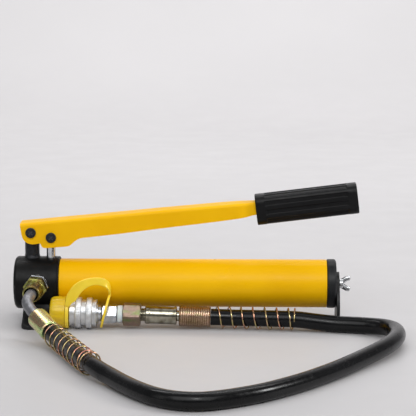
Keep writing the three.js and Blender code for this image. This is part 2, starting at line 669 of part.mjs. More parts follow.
function makeGrip() {
  const half = { across: GRIP_WIDTH / 2, up: GRIP_HEIGHT / 2 };
  const rounded = new THREE.Shape();
  const corner = GRIP_CORNER;
  rounded.absarc(half.across - corner, half.up - corner, corner, 0, Math.PI / 2);
  rounded.absarc(corner - half.across, half.up - corner, corner, Math.PI / 2, Math.PI);
  rounded.absarc(corner - half.across, corner - half.up, corner, Math.PI, 1.5 * Math.PI);
  rounded.absarc(half.across - corner, corner - half.up, corner, 1.5 * Math.PI, 2 * Math.PI);
  const geometry = new THREE.ExtrudeGeometry(rounded, {
    depth: GRIP_LENGTH - 2 * GRIP_CHAMFER, curveSegments: 5, bevelThickness: GRIP_CHAMFER,
    bevelSize: GRIP_CHAMFER, bevelOffset: -GRIP_CHAMFER, bevelSegments: 1,
  });
  geometry.translate(0, 0, GRIP_CHAMFER).rotateX(Math.PI / 2).rotateZ(Math.PI / 2);
  const grip = new THREE.Group();
  grip.position.set(GRIP_START_X, 0, GRIP_START_HEIGHT);
  grip.rotation.y = -THREE.MathUtils.degToRad(GRIP_TILT);
  pumpBody.add(grip);
  const tangHeight = 13.4;
  const offset = 88.6 - tangHeight / 2 - GRIP_START_HEIGHT;
  const pocketLength = (LEVER_END_X - GRIP_START_X) / Math.cos(grip.rotation.y) + 4;
  const pocket = new THREE.BoxGeometry(pocketLength, TANG_WIDTH + 2 * GAP, tangHeight + 1.2);
  pocket.translate(pocketLength / 2 - 1, 0, offset + 0.2);
  piece(grip, 'grip', gripPlastic, geometry, [pocket]);
}

// ---------------------------------------------------------------- reservoir

function makeReservoir() {
  piece(pumpBody, 'tank_tube', yellowPaint, ring(tankRadius, tankBore, tankStart, tankEnd, FINE));
  const capRadius = CAP_DIAMETER / 2;
  const groove = RING_SECTION * 0.75;
  const grooveAt = capStart - CAP_SPIGOT / 2;
  const bore = WING_THREAD_RADIUS + GAP;
  const spigotBore = spigotRadius - 6;
  const profile = [
    [bore, capStart - 2], [spigotBore, capStart - 2], [spigotBore, capSpigotStart],
    [spigotRadius, capSpigotStart], [spigotRadius, grooveAt - RING_SECTION * 0.6],
    [spigotRadius - groove, grooveAt - RING_SECTION * 0.6],
    [spigotRadius - groove, grooveAt + RING_SECTION * 0.6], [spigotRadius, grooveAt + RING_SECTION * 0.6],
    [spigotRadius, capStart], [capRadius - 0.6, capStart], [capRadius, capStart + 0.6],
    [capRadius, capEnd - 1.6], [capRadius - 1.6, capEnd], [bore, capEnd], [bore, capStart - 2],
  ];
  piece(pumpBody, 'end_cap', blackPaint, turned(profile, FINE));
  piece(pumpBody, 'cap_oring', sealRubber,
    sealRing(spigotRadius - groove + RING_SECTION * 0.45, RING_SECTION * 0.4, grooveAt));
}

function makeBladder() {
  const inner = neckRadius + GAP;
  const bagRadius = tankBore - BLADDER_CLEARANCE;
  const wall = BLADDER_WALL;
  const mouth = spigotEnd + GAP;
  const flare = neckEnd + 2;
  const end = capSpigotStart - 6;
  const outside = [[inner + wall, mouth], [inner + wall, flare], [bagRadius, flare + 12],
    [bagRadius, end - 10],
    [bagRadius - 10, end], [0, end]];
  const inside = [[0, end - wall], [bagRadius - 10, end - wall], [bagRadius - wall, end - 10],
    [bagRadius - wall, flare + 12], [inner, flare]];
  piece(pumpBody, 'oil_bladder', bladderRubber, turned([[inner, mouth], ...outside, ...inside,
    [inner, mouth]]));
  const clampBore = inner + wall + GAP;
  const clampAt = mouth + 3;
  piece(pumpBody, 'bladder_clamp', steel,
    ring(clampBore + CLAMP_THICKNESS, clampBore, clampAt, clampAt + CLAMP_WIDTH));
}

function makeRearBracket() {
  const edge = BRACKET_HALF_WIDTH;
  const outline = new THREE.Shape();
  outline.moveTo(-edge, 0);
  outline.lineTo(edge, 0);
  outline.lineTo(edge, BRACKET_SHOULDER);
  outline.quadraticCurveTo(edge - 1, AXIS_HEIGHT - 8, BRACKET_TOP_RADIUS, AXIS_HEIGHT + 1);
  outline.absarc(0, AXIS_HEIGHT, BRACKET_TOP_RADIUS, 0, Math.PI);
  outline.quadraticCurveTo(1 - edge, AXIS_HEIGHT - 8, -edge, BRACKET_SHOULDER);
  const sheet = plate(outline, BRACKET_THICKNESS, 'yz').translate(bracketStart + BRACKET_THICKNESS / 2,
    0, 0);
  const hole = rod(WING_THREAD_RADIUS + GAP, bracketStart - 1, bracketEnd + 1, SMALL).translate(0, 0,
    AXIS_HEIGHT);
  piece(pump, 'rear_bracket', blackPaint, sheet, [hole]);
}

function makeWingScrew() {
  const hubStart = bracketEnd + GAP;
  const hubEnd = hubStart + WING_HUB_LENGTH;
  const hub = turned([[0, capStart + 1], [WING_THREAD_RADIUS, capStart + 1], [WING_THREAD_RADIUS, hubStart],
    [WING_HUB_RADIUS, hubStart], [WING_HUB_RADIUS, hubEnd - 1], [WING_HUB_RADIUS - 1.2, hubEnd],
      [0, hubEnd]], SMALL);
  const wing = new THREE.Shape();
  wing.moveTo(0, 1);
  wing.lineTo(2.6, 0.8);
  wing.lineTo(WING_REACH - 2, 5);
  wing.quadraticCurveTo(WING_REACH + 0.5, 7.5, WING_REACH - 3, 8.6);
  wing.lineTo(WING_REACH - 5.2, 8.8);
  wing.lineTo(0.4, 4.4);
  const wings = [0, Math.PI].map((turn) => (
    plate(wing, WING_THICKNESS).translate(hubStart, 0, 0).rotateX(turn)));
  joinedPiece(pumpBody, 'wing_screw', chrome, [hub, ...wings]);
}

// ---------------------------------------------------------------- front foot

function makeFoot() {
  const saddleRadius = headRadius + GAP;
  const saddleHalf = Math.min(SADDLE_HALF_WIDTH, saddleRadius * 0.75);
  const saddleTop = AXIS_HEIGHT - Math.sqrt(saddleRadius ** 2 - saddleHalf ** 2);
  const tip = FOOT_HALF_WIDTH;
  const profile = new THREE.Shape();
  profile.moveTo(-tip, 0);
  profile.lineTo(tip, 0);
  profile.lineTo(tip, FOOT_EDGE);
  profile.bezierCurveTo(tip - 14, FOOT_EDGE + 3.4, saddleHalf + 6, saddleTop - 11, saddleHalf, saddleTop);
  profile.lineTo(-saddleHalf, saddleTop);
  profile.bezierCurveTo(-saddleHalf - 6, saddleTop - 11, 14 - tip, FOOT_EDGE + 3.4, -tip, FOOT_EDGE);
  const half = FOOT_LENGTH / 2;
  const corner = FOOT_CORNER;
  const plan = new THREE.Shape();
  plan.absarc(half - corner, tip - corner, corner, 0, Math.PI / 2);
  plan.absarc(corner - half, tip - corner, corner, Math.PI / 2, Math.PI);
  plan.absarc(corner - half, corner - tip, corner, Math.PI, 1.5 * Math.PI);
  plan.absarc(half - corner, corner - tip, corner, 1.5 * Math.PI, 2 * Math.PI);
  const casting = solid(plate(profile, FOOT_LENGTH, 'yz')).intersect(solid(plate(plan, 4 * AXIS_HEIGHT,
    'xy')));
  const screwHeight = AXIS_HEIGHT - headRadius;
  const recess = screwHeight * 0.55;
  const cutters = [rod(saddleRadius, -HEAD_LENGTH, HEAD_LENGTH, FINE).translate(0, 0, AXIS_HEIGHT)];
  for (const side of [-1, 1]) {
    const y = (side * FOOT_SCREW_SPACING) / 2;
    cutters.push(rod(FOOT_SCREW_RADIUS * 1.7 + GAP, -1, recess, ROUND, 'z').translate(0, y, 0));
    cutters.push(rod(FOOT_SCREW_RADIUS + GAP, 0, AXIS_HEIGHT, SMALL, 'z').translate(0, y, 0));
    const head = recess - GAP;
    const end = screwHeight + FOOT_SCREW_BITE - 1;
    const wide = FOOT_SCREW_RADIUS * 1.7;
    const screw = turned([[0, head - 5.5], [wide, head - 5.5], [wide, head], [FOOT_SCREW_RADIUS, head],
      [FOOT_SCREW_RADIUS, end], [0, end]], SMALL, 'z');
    const socket = hexagon(5, -3, 2.5).rotateY(-Math.PI / 2).translate(0, 0, head - 5.5);
    piece(pump, side < 0 ? 'foot_screw_near' : 'foot_screw_far', blackOxide,
      screw.translate(0, y, 0), [socket.translate(0, y, 0)]);
  }
  piece(pump, 'front_foot', blackPaint, geometryOf(casting), cutters);
}

// ---------------------------------------------------------------- hose and the fittings at the head

const hoseStart = new THREE.Vector3(...HOSE_ROUTE[0]);
const ferruleStart = hoseStart.clone().addScaledVector(FERRULE_DIRECTION, -NEAR_FERRULE_LENGTH);
const portHexStart = -0.5;
const portHexEnd = portHexStart + PORT_HEX_LENGTH;
const swivelStart = portHexEnd + 0.8;
const swivelEnd = swivelStart + SWIVEL_LENGTH;

function makePortFittings() {
  const stub = 12;
  joinedPiece(portGroup, 'port_adapter', zincSilver, [
    rod(PORT_THREAD_RADIUS, -13, stub),
    hexagon(PORT_HEX, portHexStart, portHexEnd),
  ], [rod(PASSAGE_RADIUS, -14, stub + 1, SMALL)]);
  const threadBore = PORT_THREAD_RADIUS + GAP;
  piece(portGroup, 'port_washer', steel, ring(PORT_HEX / 2, threadBore, portHexStart - 1.6,
    portHexStart - GAP));
  const barrel = SWIVEL_HEX / 2 - 1.6;
  const mouth = PIPE_DIAMETER / 2 + 1.8;
  const hexEnd = swivelStart + SWIVEL_HEX_LENGTH;
  const nutHex = hexagon(SWIVEL_HEX, swivelStart, hexEnd);
  const nose = turned([[0, hexEnd - 2], [barrel, hexEnd - 2], [barrel, swivelEnd - 2],
    [barrel - 0.8, swivelEnd], [0, swivelEnd]]);
  joinedPiece(portGroup, 'swivel_nut', zincYellow, [nutHex, nose], [
    rod(Math.max(threadBore, PIPE_DIAMETER / 2 + GAP), swivelStart - 1, swivelEnd + 1),
    rod(mouth, swivelEnd - 9, swivelEnd + 1),
  ]);
}

function makePipe() {
  const toWorld = (x) => new THREE.Vector3(x, 0, 0).applyMatrix4(portGroup.matrixWorld);
  const straightEnd = swivelEnd - 7;
  const bendEnd = ferruleStart.clone();
  const leave = toWorld(swivelEnd + 22);
  const arrive = bendEnd.clone().addScaledVector(FERRULE_DIRECTION, -32);
  const path = new THREE.CurvePath();
  path.add(new THREE.LineCurve3(toWorld(12 + GAP), toWorld(straightEnd)));
  path.add(new THREE.CubicBezierCurve3(toWorld(straightEnd), leave, arrive, bendEnd));
  const inside = bendEnd.clone().addScaledVector(FERRULE_DIRECTION, NEAR_FERRULE_LENGTH - 2);
  path.add(new THREE.LineCurve3(bendEnd, inside));
  piece(pump, 'bent_pipe', pipeGrey, tube(path, PIPE_DIAMETER / 2, 12, 22));
  const ferrule = groupAlong(ferruleStart, FERRULE_DIRECTION);
  pump.add(ferrule);
  const outer = NEAR_FERRULE_DIAMETER / 2;
  const bore = PIPE_DIAMETER / 2 + GAP;
  const end = NEAR_FERRULE_LENGTH;
  piece(ferrule, 'near_ferrule', zincYellow, turned([[bore, 0], [outer - 1.6, 0], [outer, 1.6],
    [outer, end - 1],
    [outer - 1, end], [bore, end], [bore, 0]]));
}

// ---------------------------------------------------------------- coupler and the fittings at the hose's far end

const couplerSlope = THREE.MathUtils.degToRad(COUPLER_SLOPE);
const couplerDirection = new THREE.Vector3(Math.cos(couplerSlope), 0, -Math.sin(couplerSlope));
const collarStart = DUST_CAP_LENGTH + STRAP_EYE_LENGTH + 3 * GAP;
const collarEnd = collarStart + COLLAR_LENGTH;
const couplerHeight = COLLAR_RING_DIAMETER / 2 + 0.15 + collarEnd * Math.sin(couplerSlope);
const sideClearance = headRadius + DUST_CAP_DIAMETER / 2 + 1;
const couplerY = -Math.sqrt(sideClearance ** 2 - (AXIS_HEIGHT - couplerHeight) ** 2);
const couplerPoint = new THREE.Vector3(COUPLER_X, couplerY, couplerHeight);
const coupler = groupAlong(couplerPoint, couplerDirection);
pump.add(coupler);

const noseRadius = NOSE_DIAMETER / 2;
const bodyRadius = COLLAR_BORE / 2 - RUN;
const hexAt = collarEnd + 5.6;
const hexEndAt = hexAt + REAR_HEX_LENGTH;
const adapterAt = hexEndAt + TAPE_LENGTH + 2 * GAP;
const adapterEnd = adapterAt + ADAPTER_HEX_LENGTH;
const tailAt = adapterEnd + 4.5;
const tailEnd = tailAt + TAIL_LENGTH;
const ferruleAt = tailEnd + 2.2;
const ferruleEnd = ferruleAt + FAR_FERRULE_LENGTH;

function makeCoupler() {
  const socket = SOCKET_DIAMETER / 2;
  const noseStart = DUST_CAP_WALL + GAP;
  const chamber = collarEnd - 3;
  const threadBore = 7;
  const body = turned([[0, noseStart], [noseRadius, noseStart], [noseRadius, collarStart + 4],
    [bodyRadius, collarStart + 4], [bodyRadius, collarEnd + 1.5], [REAR_HEX / 2 - 1, collarEnd + 1.5],
    [REAR_HEX / 2 - 1, hexAt + 1], [0, hexAt + 1]]);
  joinedPiece(coupler, 'coupler_body', zincSilver, [body, hexagon(REAR_HEX, hexAt, hexEndAt)], [
    rod(socket, noseStart - 1, chamber),
    rod(PASSAGE_RADIUS, chamber - 1, hexEndAt + 1, SMALL),
    rod(threadBore, hexAt + 2, hexEndAt + 1),
  ]);
  const poppetStart = noseStart + 5;
  const poppet = turned([[0, poppetStart], [3, poppetStart], [3, poppetStart + 5],
    [socket - RUN, poppetStart + 8],
    [socket - RUN, poppetStart + 13], [3.4, poppetStart + 13], [3.4, poppetStart + 16],
      [0, poppetStart + 16]], SMALL);
  piece(coupler, 'coupler_poppet', steel, poppet);
  piece(coupler, 'poppet_spring', spring,
    compressionSpring(socket - 1.4, VALVE_WIRE, poppetStart + 13 + GAP, chamber - GAP, 5));
  const ringRadius = COLLAR_RING_DIAMETER / 2;
  const base = COLLAR_DIAMETER / 2;
  const knurl = 6.2;
  const firstRing = collarStart + 6.2;
  const secondRing = collarStart + 17.4;
  const collarProfile = [[COLLAR_BORE / 2, collarStart], [base, collarStart]];
  for (const at of [firstRing, secondRing]) {
    collarProfile.push([base, at], [ringRadius, at + 0.5], [ringRadius, at + knurl - 0.5],
      [base, at + knurl]);
  }
  collarProfile.push([base, collarEnd], [COLLAR_BORE / 2, collarEnd], [COLLAR_BORE / 2, collarStart]);
  piece(coupler, 'coupler_collar', zincSilver, turned(collarProfile));
}

function makeDustCap() {
  const outer = DUST_CAP_DIAMETER / 2;
  const shoulder = DUST_CAP_LENGTH;
  const neck = STRAP_EYE_DIAMETER / 2 - 4;
  const end = shoulder + STRAP_EYE_LENGTH + 2 * GAP;
  const bore = noseRadius + GAP;
  piece(coupler, 'dust_cap', capPlastic, turned([[0, 0], [outer - 3.5, 0], [outer - 1.2, 1.2],
    [outer - 0.4, 3.5],
    [outer, 6], [outer, shoulder], [neck, shoulder], [neck, end], [bore, end], [bore, DUST_CAP_WALL],
    [0, DUST_CAP_WALL]], 20));
}

/** The strap's band: it leaves the cap's eye, arches over the collar and twists down to the loose eye. */
function strapBand(looseTop) {
  const eye = DUST_CAP_LENGTH + GAP + STRAP_EYE_LENGTH / 2;
  const side = 3.6 - STRAP_EYE_DIAMETER / 2 - STRAP_THICKNESS / 2;
  const peak = COLLAR_RING_DIAMETER / 2 + 20;
  const path = new THREE.CatmullRomCurve3([
    new THREE.Vector3(eye, side, 10),
    new THREE.Vector3(eye + 4.6, side - 0.8, 18.5),
    new THREE.Vector3(eye + 12, side - 0.6, peak - 6.8),
    new THREE.Vector3(eye + 21.5, side + 0.8, peak - 1.2),
    new THREE.Vector3(eye + 32, side + 4, peak),
    new THREE.Vector3(looseTop.x - 2.4, side + 8.5, peak - 4),
    new THREE.Vector3(looseTop.x + 0.8, -2, looseTop.z + 4.6),
    looseTop,
  ], false, 'centripetal');
  const steps = 18;
  const rings = [];
  for (let i = 0; i <= steps; i += 1) {
    const t = i / steps;
    const along = path.getTangentAt(t);
    const turn = THREE.MathUtils.smoothstep(t, 0.55, 0.97);
    const normal = new THREE.Vector3(0, -1, 0).lerp(new THREE.Vector3(1, 0, 0.2), turn);
    const across = along.clone().cross(normal).normalize();
    const through = across.clone().cross(along).normalize().multiplyScalar(STRAP_THICKNESS / 2);
    across.multiplyScalar(THREE.MathUtils.lerp(5.6, 4, THREE.MathUtils.smoothstep(t, 0, 0.35)));
    const middle = path.getPointAt(t);
    rings.push([[1, 1], [-1, 1], [-1, -1], [1, -1]].map(([a, b]) => (
      middle.clone().addScaledVector(across, a).addScaledVector(through, b))));
  }
  return loft(rings);
}

/** Skin over equal rings of points, closed by flat ends. */
function loft(rings) {
  const count = rings[0].length;
  const vertices = rings.flat().flatMap((point) => point.toArray());
  const index = [];
  for (let i = 0; i + 1 < rings.length; i += 1) {
    for (let j = 0; j < count; j += 1) {
      const [a, b] = [i * count + j, i * count + ((j + 1) % count)];
      index.push(a, b, b + count, a, b + count, a + count);
    }
  }
  const last = (rings.length - 1) * count;
  for (let j = 1; j + 1 < count; j += 1) {
    index.push(0, j + 1, j, last, last + j, last + j + 1);
  }
  const geometry = new THREE.BufferGeometry();
  geometry.setAttribute('position', new THREE.Float32BufferAttribute(vertices, 3));
  geometry.setIndex(index);
  return geometry;
}

function makeStrap() {
  const neck = STRAP_EYE_DIAMETER / 2 - 4 + GAP;
  const eyeStart = DUST_CAP_LENGTH + GAP;
  const capEye = ring(STRAP_EYE_DIAMETER / 2, neck, eyeStart, eyeStart + STRAP_EYE_LENGTH);
  const thickness = STRAP_THICKNESS + 0.4;
  const looseRadius = 18.5;
  const looseBore = REAR_HEX / Math.sqrt(3) + 3;
  const lean = THREE.MathUtils.degToRad(13);
  const looseMiddle = new THREE.Vector3(hexAt + 3.2, 0, 3);
  const looseEye = ring(looseRadius, looseBore, -thickness / 2, thickness / 2).rotateY(lean);
  looseEye.translate(looseMiddle.x, looseMiddle.y, looseMiddle.z);
  const reach = looseRadius - 1.6;
  const looseTop = new THREE.Vector3(Math.sin(lean), 0,
    Math.cos(lean)).multiplyScalar(reach).add(looseMiddle);
  joinedPiece(coupler, 'cap_strap', capPlastic, [capEye, strapBand(looseTop), looseEye]);
}

function makeHoseEnd() {
  const threadRadius = 7 - GAP;
  const tailThread = 7;
  joinedPiece(coupler, 'hose_adapter', zincYellow, [
    rod(threadRadius, hexAt + 4, adapterAt + 1),
    hexagon(ADAPTER_HEX, adapterAt, adapterEnd),
  ], [
    rod(PASSAGE_RADIUS, hexAt, adapterEnd, SMALL),
    rod(tailThread + GAP, adapterAt + 6, adapterEnd + 1),
  ]);
  const tapeStart = hexEndAt + GAP;
  piece(coupler, 'thread_tape', ptfe, ring(threadRadius + 2.2, threadRadius + GAP, tapeStart,
    tapeStart + TAPE_LENGTH));
  const outer = TAIL_DIAMETER / 2;
  const barb = 5.6;
  piece(coupler, 'hose_tail', zincSilver, turned([[0, adapterAt + 7], [tailThread, adapterAt + 7],
    [tailThread, tailAt],
    [outer - 0.6, tailAt], [outer, tailAt + 0.6], [outer, tailEnd - 0.6], [outer - 0.6, tailEnd],
      [barb, tailEnd],
    [barb, ferruleEnd - 1], [0, ferruleEnd - 1]]), [rod(PASSAGE_RADIUS, 0, 500, SMALL)]);
  const shell = FAR_FERRULE_DIAMETER / 2;
  const bore = barb + GAP;
  const profile = [[bore, ferruleAt], [shell - 0.7, ferruleAt], [shell, ferruleAt + 0.7],
    [shell, ferruleEnd - 0.7],
    [shell - 0.7, ferruleEnd], [bore, ferruleEnd], [bore, ferruleAt]];
  piece(coupler, 'far_ferrule', zincYellow, turned(profile));
}

function makeHose() {
  const points = HOSE_ROUTE.map((point) => new THREE.Vector3(...point));
  points[0].addScaledVector(FERRULE_DIRECTION, GAP);
  for (const distance of [28, 8, GAP]) {
    points.push(new THREE.Vector3(ferruleEnd + distance, 0, 0).applyMatrix4(coupler.matrixWorld));
  }
  const route = new THREE.CatmullRomCurve3(points, false, 'centripetal');
  piece(pump, 'hose', hoseRubber, tube(route, HOSE_DIAMETER / 2, 8, 66));
  const radius = (GUARD_DIAMETER - GUARD_WIRE) / 2;
  const [nearFrom, nearTo] = NEAR_GUARD_SPAN;
  const length = route.getLength();
  const nearCoil = new Coil(route, radius, [nearFrom, nearTo], 8.5);
  piece(pump, 'near_spring_guard', zincYellow, tube(nearCoil, GUARD_WIRE / 2, 5, 78));
  const [farFrom, farTo] = FAR_GUARD_SPAN;
  const farCoil = new Coil(route, radius, [length - farTo, length - farFrom], 7.5);
  piece(pump, 'far_spring_guard', zincYellow, tube(farCoil, GUARD_WIRE / 2, 5, 70));
}

makeHead();
makeDeliveryValve();
makeSuctionValve();
makeReliefValve();
makeReleaseValve();
makePlunger();
makePost();
makePin('fulcrum', POST_X, FULCRUM_HEIGHT);
makePin('plunger', plungerPinX, plungerPinHeight);
makeLever();
makeGrip();
makeReservoir();
makeBladder();
makeRearBracket();
makeWingScrew();
makeFoot();
makePortFittings();
makePipe();
makeCoupler();
makeDustCap();
makeStrap();
makeHoseEnd();
makeHose();

export default pump;
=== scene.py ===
"""Hydraulic hand pump: the visible pieces, their materials, and the studio round them.

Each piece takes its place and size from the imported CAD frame. Sizes in this script are in
millimetres, and a mesh is brought to metres when it is made. The camera, the lights, the backdrop and
the hose's route are in metres. A turned piece's own X axis is its turning axis.
"""

import math

import bpy
import numpy as np
from mathutils import Matrix, Vector


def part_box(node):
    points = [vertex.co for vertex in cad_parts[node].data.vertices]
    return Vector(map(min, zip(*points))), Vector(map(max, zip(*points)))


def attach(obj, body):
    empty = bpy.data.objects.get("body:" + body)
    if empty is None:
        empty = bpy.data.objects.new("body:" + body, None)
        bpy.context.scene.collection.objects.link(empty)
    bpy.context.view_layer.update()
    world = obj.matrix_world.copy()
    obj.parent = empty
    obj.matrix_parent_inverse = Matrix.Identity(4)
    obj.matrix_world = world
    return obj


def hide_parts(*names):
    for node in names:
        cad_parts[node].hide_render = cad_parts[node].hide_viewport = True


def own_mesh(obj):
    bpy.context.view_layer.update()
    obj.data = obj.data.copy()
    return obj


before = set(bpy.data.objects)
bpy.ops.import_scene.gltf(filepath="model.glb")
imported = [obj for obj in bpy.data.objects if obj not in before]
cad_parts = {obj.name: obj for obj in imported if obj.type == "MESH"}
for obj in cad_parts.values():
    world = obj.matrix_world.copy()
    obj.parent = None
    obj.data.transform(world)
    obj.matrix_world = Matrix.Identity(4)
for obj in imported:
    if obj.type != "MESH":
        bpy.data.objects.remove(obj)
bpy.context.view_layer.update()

MM = 0.001
FINE = 128  # sides of the large turned pieces
ROUND = 72  # sides of the fittings
GAP = 0.3  # the frame's gap between pieces that touch
RUN = 0.35  # clearance of a fit that turns or slides
POINT = 0.02  # radius of the very small circle that closes a turned end
SHARP_ANGLE = 35  # degrees between faces, from which an edge is shaded sharp
HEX_SIZE = 0.997  # a hexagon's radius, as a share of the nominal one
HEX_END = 0.955  # radius where a hexagon's chamfers end, as a share of its inner radius
HEX_CHAMFER = math.tan(math.radians(30))
HEX_SUPPORT = 0.25  # from a chamfer to the row that keeps its shading crisp
PIN_HEAD_RATIO = 5.5 / 4  # a pin's head over its shank
SCREW_HEAD_RATIO = 1.7  # a socket screw's head over its shank

# ------------------------------------------------------------------ camera and the hose's route

CAMERA_PLACE = (0.2234, -1.9211, 0.4505)
CAMERA_TILT = 80.3  # degrees from straight down
CAMERA_TURN = 1.25
CAMERA_LENS = 159.23

# The hose's route between its two ferrules, in metres, as in the CAD source.
HOSE_ROUTE = [
    (0.0257, -0.1206, 0.0158),
    (0.0296, -0.1266, 0.0137),
    (0.0366, -0.141, 0.0125),
    (0.0443, -0.16, 0.0124),
    (0.0524, -0.1803, 0.0124),
    (0.0607, -0.2015, 0.0125),
    (0.0703, -0.224, 0.0124),
    (0.0796, -0.2441, 0.0122),
    (0.0882, -0.2581, 0.011),
    (0.0966, -0.27, 0.0098),
    (0.1111, -0.2935, 0.0089),
    (0.1272, -0.3179, 0.0088),
    (0.1443, -0.3372, 0.0088),
    (0.1626, -0.348, 0.0088),
    (0.1821, -0.3502, 0.0088),
    (0.1996, -0.3442, 0.0088),
    (0.2173, -0.3343, 0.0088),
    (0.2351, -0.3219, 0.0088),
    (0.2534, -0.3049, 0.0088),
    (0.272, -0.2851, 0.0088),
    (0.2912, -0.2609, 0.0088),
    (0.3111, -0.2331, 0.0089),
    (0.3265, -0.21, 0.0094),
    (0.3403, -0.1887, 0.01),
    (0.3534, -0.1678, 0.0108),
    (0.3635, -0.1489, 0.0114),
    (0.3716, -0.1272, 0.0118),
    (0.3752, -0.1042, 0.0116),
    (0.373, -0.0844, 0.011),
    (0.3653, -0.0706, 0.0102),
    (0.3506, -0.0605, 0.0092),
    (0.3333, -0.0547, 0.0088),
    (0.3158, -0.0519, 0.0089),
    (0.297, -0.0495, 0.0104),
    (0.275, -0.0465, 0.0123),
    (0.255, -0.044, 0.0124),
    (0.235, -0.042, 0.0124),
]
HOSE_LEAD_IN = (28, 8, GAP)  # last points, before the far ferrule and in line with it
HOSE_DIAMETER = 17.2
HOSE_STATIONS = 420
NEAR_GUARD_SPAN = (3, 126)  # along the hose, from its near end
FAR_GUARD_SPAN = (4, 89)  # along the hose, from its far end
NEAR_GUARD_TURNS = 8.5
FAR_GUARD_TURNS = 7.5
GUARD_DIAMETER = 23.8
GUARD_WIRE = 1.5
GUARD_STEPS = 40  # stations of the wire in one turn
CLOSED_PITCH = 0.35  # pitch of a guard's closed last turn, as a share of the others


def make_camera():
    camera = bpy.data.objects.new("camera", bpy.data.cameras.new("camera"))
    camera.location = CAMERA_PLACE
    camera.rotation_euler = (math.radians(CAMERA_TILT), 0, math.radians(CAMERA_TURN))
    camera.data.lens = CAMERA_LENS
    bpy.context.scene.collection.objects.link(camera)
    bpy.context.scene.camera = camera


make_camera()

# ------------------------------------------------------------------ measuring the frame


def vertices_of(node):
    """The separate vertices of a CAD node, in millimetres."""
    found = np.array([v.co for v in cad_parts[node].data.vertices], float) / MM
    return np.unique(found.round(3), axis=0)


def box_of(node):
    low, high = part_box(node)
    return np.array(low) / MM, np.array(high) / MM


def placed(point, direction):
    """Matrix of a local frame at a point, with its X axis along the direction."""
    turn = Vector((1, 0, 0)).rotation_difference(Vector(direction).normalized())
    return Matrix.Translation(Vector(point)) @ turn.to_matrix().to_4x4()


class Turned:
    """A turned CAD node: a local frame at its start, its length and its largest radius.

    Its axis is a world axis if that is what it runs towards, and is measured otherwise.
    """

    def __init__(self, node, towards):
        points = vertices_of(node)
        middle = points.mean(0)
        spread, directions = np.linalg.eigh(np.cov((points - middle).T))
        odd = 0 if spread[1] - spread[0] > spread[2] - spread[1] else 2
        direction = directions[:, odd]
        if direction @ np.array(towards, float) < 0:
            direction = -direction
        if np.count_nonzero(towards) == 1:
            direction = np.array(towards, float)
        along = (points - middle) @ direction
        aside = np.linalg.norm(points - middle - np.outer(along, direction), axis=1)
        self.direction = direction
        self.start = middle + direction * along.min()
        self.end = middle + direction * along.max()
        self.length = along.max() - along.min()
        self.radius = aside.max()
        self.matrix = placed(self.start, direction)


tank_low, tank_high = box_of("tank_tube")
AXIS_HEIGHT = (tank_low[2] + tank_high[2]) / 2
PUMP = Matrix.Translation((0, 0, AXIS_HEIGHT))
COUPLER_TOWARDS = (1, 0, -0.03)
HOSE_TOWARDS = (0.5, -0.8, -0.3)
PORT_TOWARDS = (-0.2, -0.9, -0.3)

# ------------------------------------------------------------------ mesh making


def mesh_piece(name, points, faces, material, matrix=PUMP, sharp=SHARP_ANGLE):
    """A smooth-shaded piece from points in millimetres, in the local frame that the matrix gives."""
    mesh = bpy.data.meshes.new(name)
    mesh.from_pydata([tuple(np.asarray(p, float) * MM) for p in points], [], faces)
    mesh.validate()
    mesh.shade_smooth()
    mesh.set_sharp_from_angle(angle=math.radians(sharp))
    mesh.materials.append(material)
    piece = bpy.data.objects.new(name, mesh)
    bpy.context.scene.collection.objects.link(piece)
    place = matrix.copy()
    place.translation = matrix.translation * MM
    piece.matrix_world = place
    return piece


def ringed(rows, wrap=False):
    """Points and faces of the skin over equal closed rows. Its ends are capped, or joined if it wraps."""
    count = len(rows[0])
    points = [p for row in rows for p in row]
    faces = []
    total = len(rows)
    for i in range(total if wrap else total - 1):
        here, there = i * count, ((i + 1) % total) * count
        for j in range(count):
            k = (j + 1) % count
            faces.append((here + j, there + j, there + k, here + k))
    if not wrap:
        last = (total - 1) * count
        for row_start, flip in ((0, False), (last, True)):
            centre = len(points)
            points.append(np.mean(rows[0] if row_start == 0 else rows[-1], axis=0))
            for j in range(count):
                k = (j + 1) % count
                corner = (row_start + j, row_start + k)
                faces.append((centre, *(corner[::-1] if flip else corner)))
    return points, faces


def rounded(profile, radius, steps=4, wrap=False):
    """The profile with its corners rounded, and a support point on both sides of each."""
    corners = [np.array(p, float) for p in profile]
    count = len(corners)
    made = []
    for i, corner in enumerate(corners):
        if not wrap and i in (0, count - 1):
            made.append(corner)
            continue
        before, after = corners[i - 1] - corner, corners[(i + 1) % count] - corner
        room = min(np.linalg.norm(before), np.linalg.norm(after))
        reach = min(radius, room * 0.4)
        start = corner + before / np.linalg.norm(before) * reach
        end = corner + after / np.linalg.norm(after) * reach
        made.append(corner + (start - corner) * 1.2)
        for step in range(steps + 1):
            t = step / steps
            made.append((1 - t) ** 2 * start + 2 * t * (1 - t) * corner + t * t * end)
        made.append(corner + (end - corner) * 1.2)
    return [tuple(p) for p in made]


def circle_row(radius, along, sides=ROUND, shape=None):
    """One round row at a distance along X. shape gives the radius's factor at each angle."""
    angles = np.arange(sides) * 2 * math.pi / sides
    radii = radius * (np.ones(sides) if shape is None else shape(angles))
    return np.stack([np.full(sides, along), radii * np.cos(angles), radii * np.sin(angles)], axis=1)


def turned_rows(profile, sides=ROUND):
    """Rows for a profile of (radius, along). A radius of 0 becomes a very small circle."""
    return [circle_row(max(radius, POINT), along, sides) for radius, along in profile]


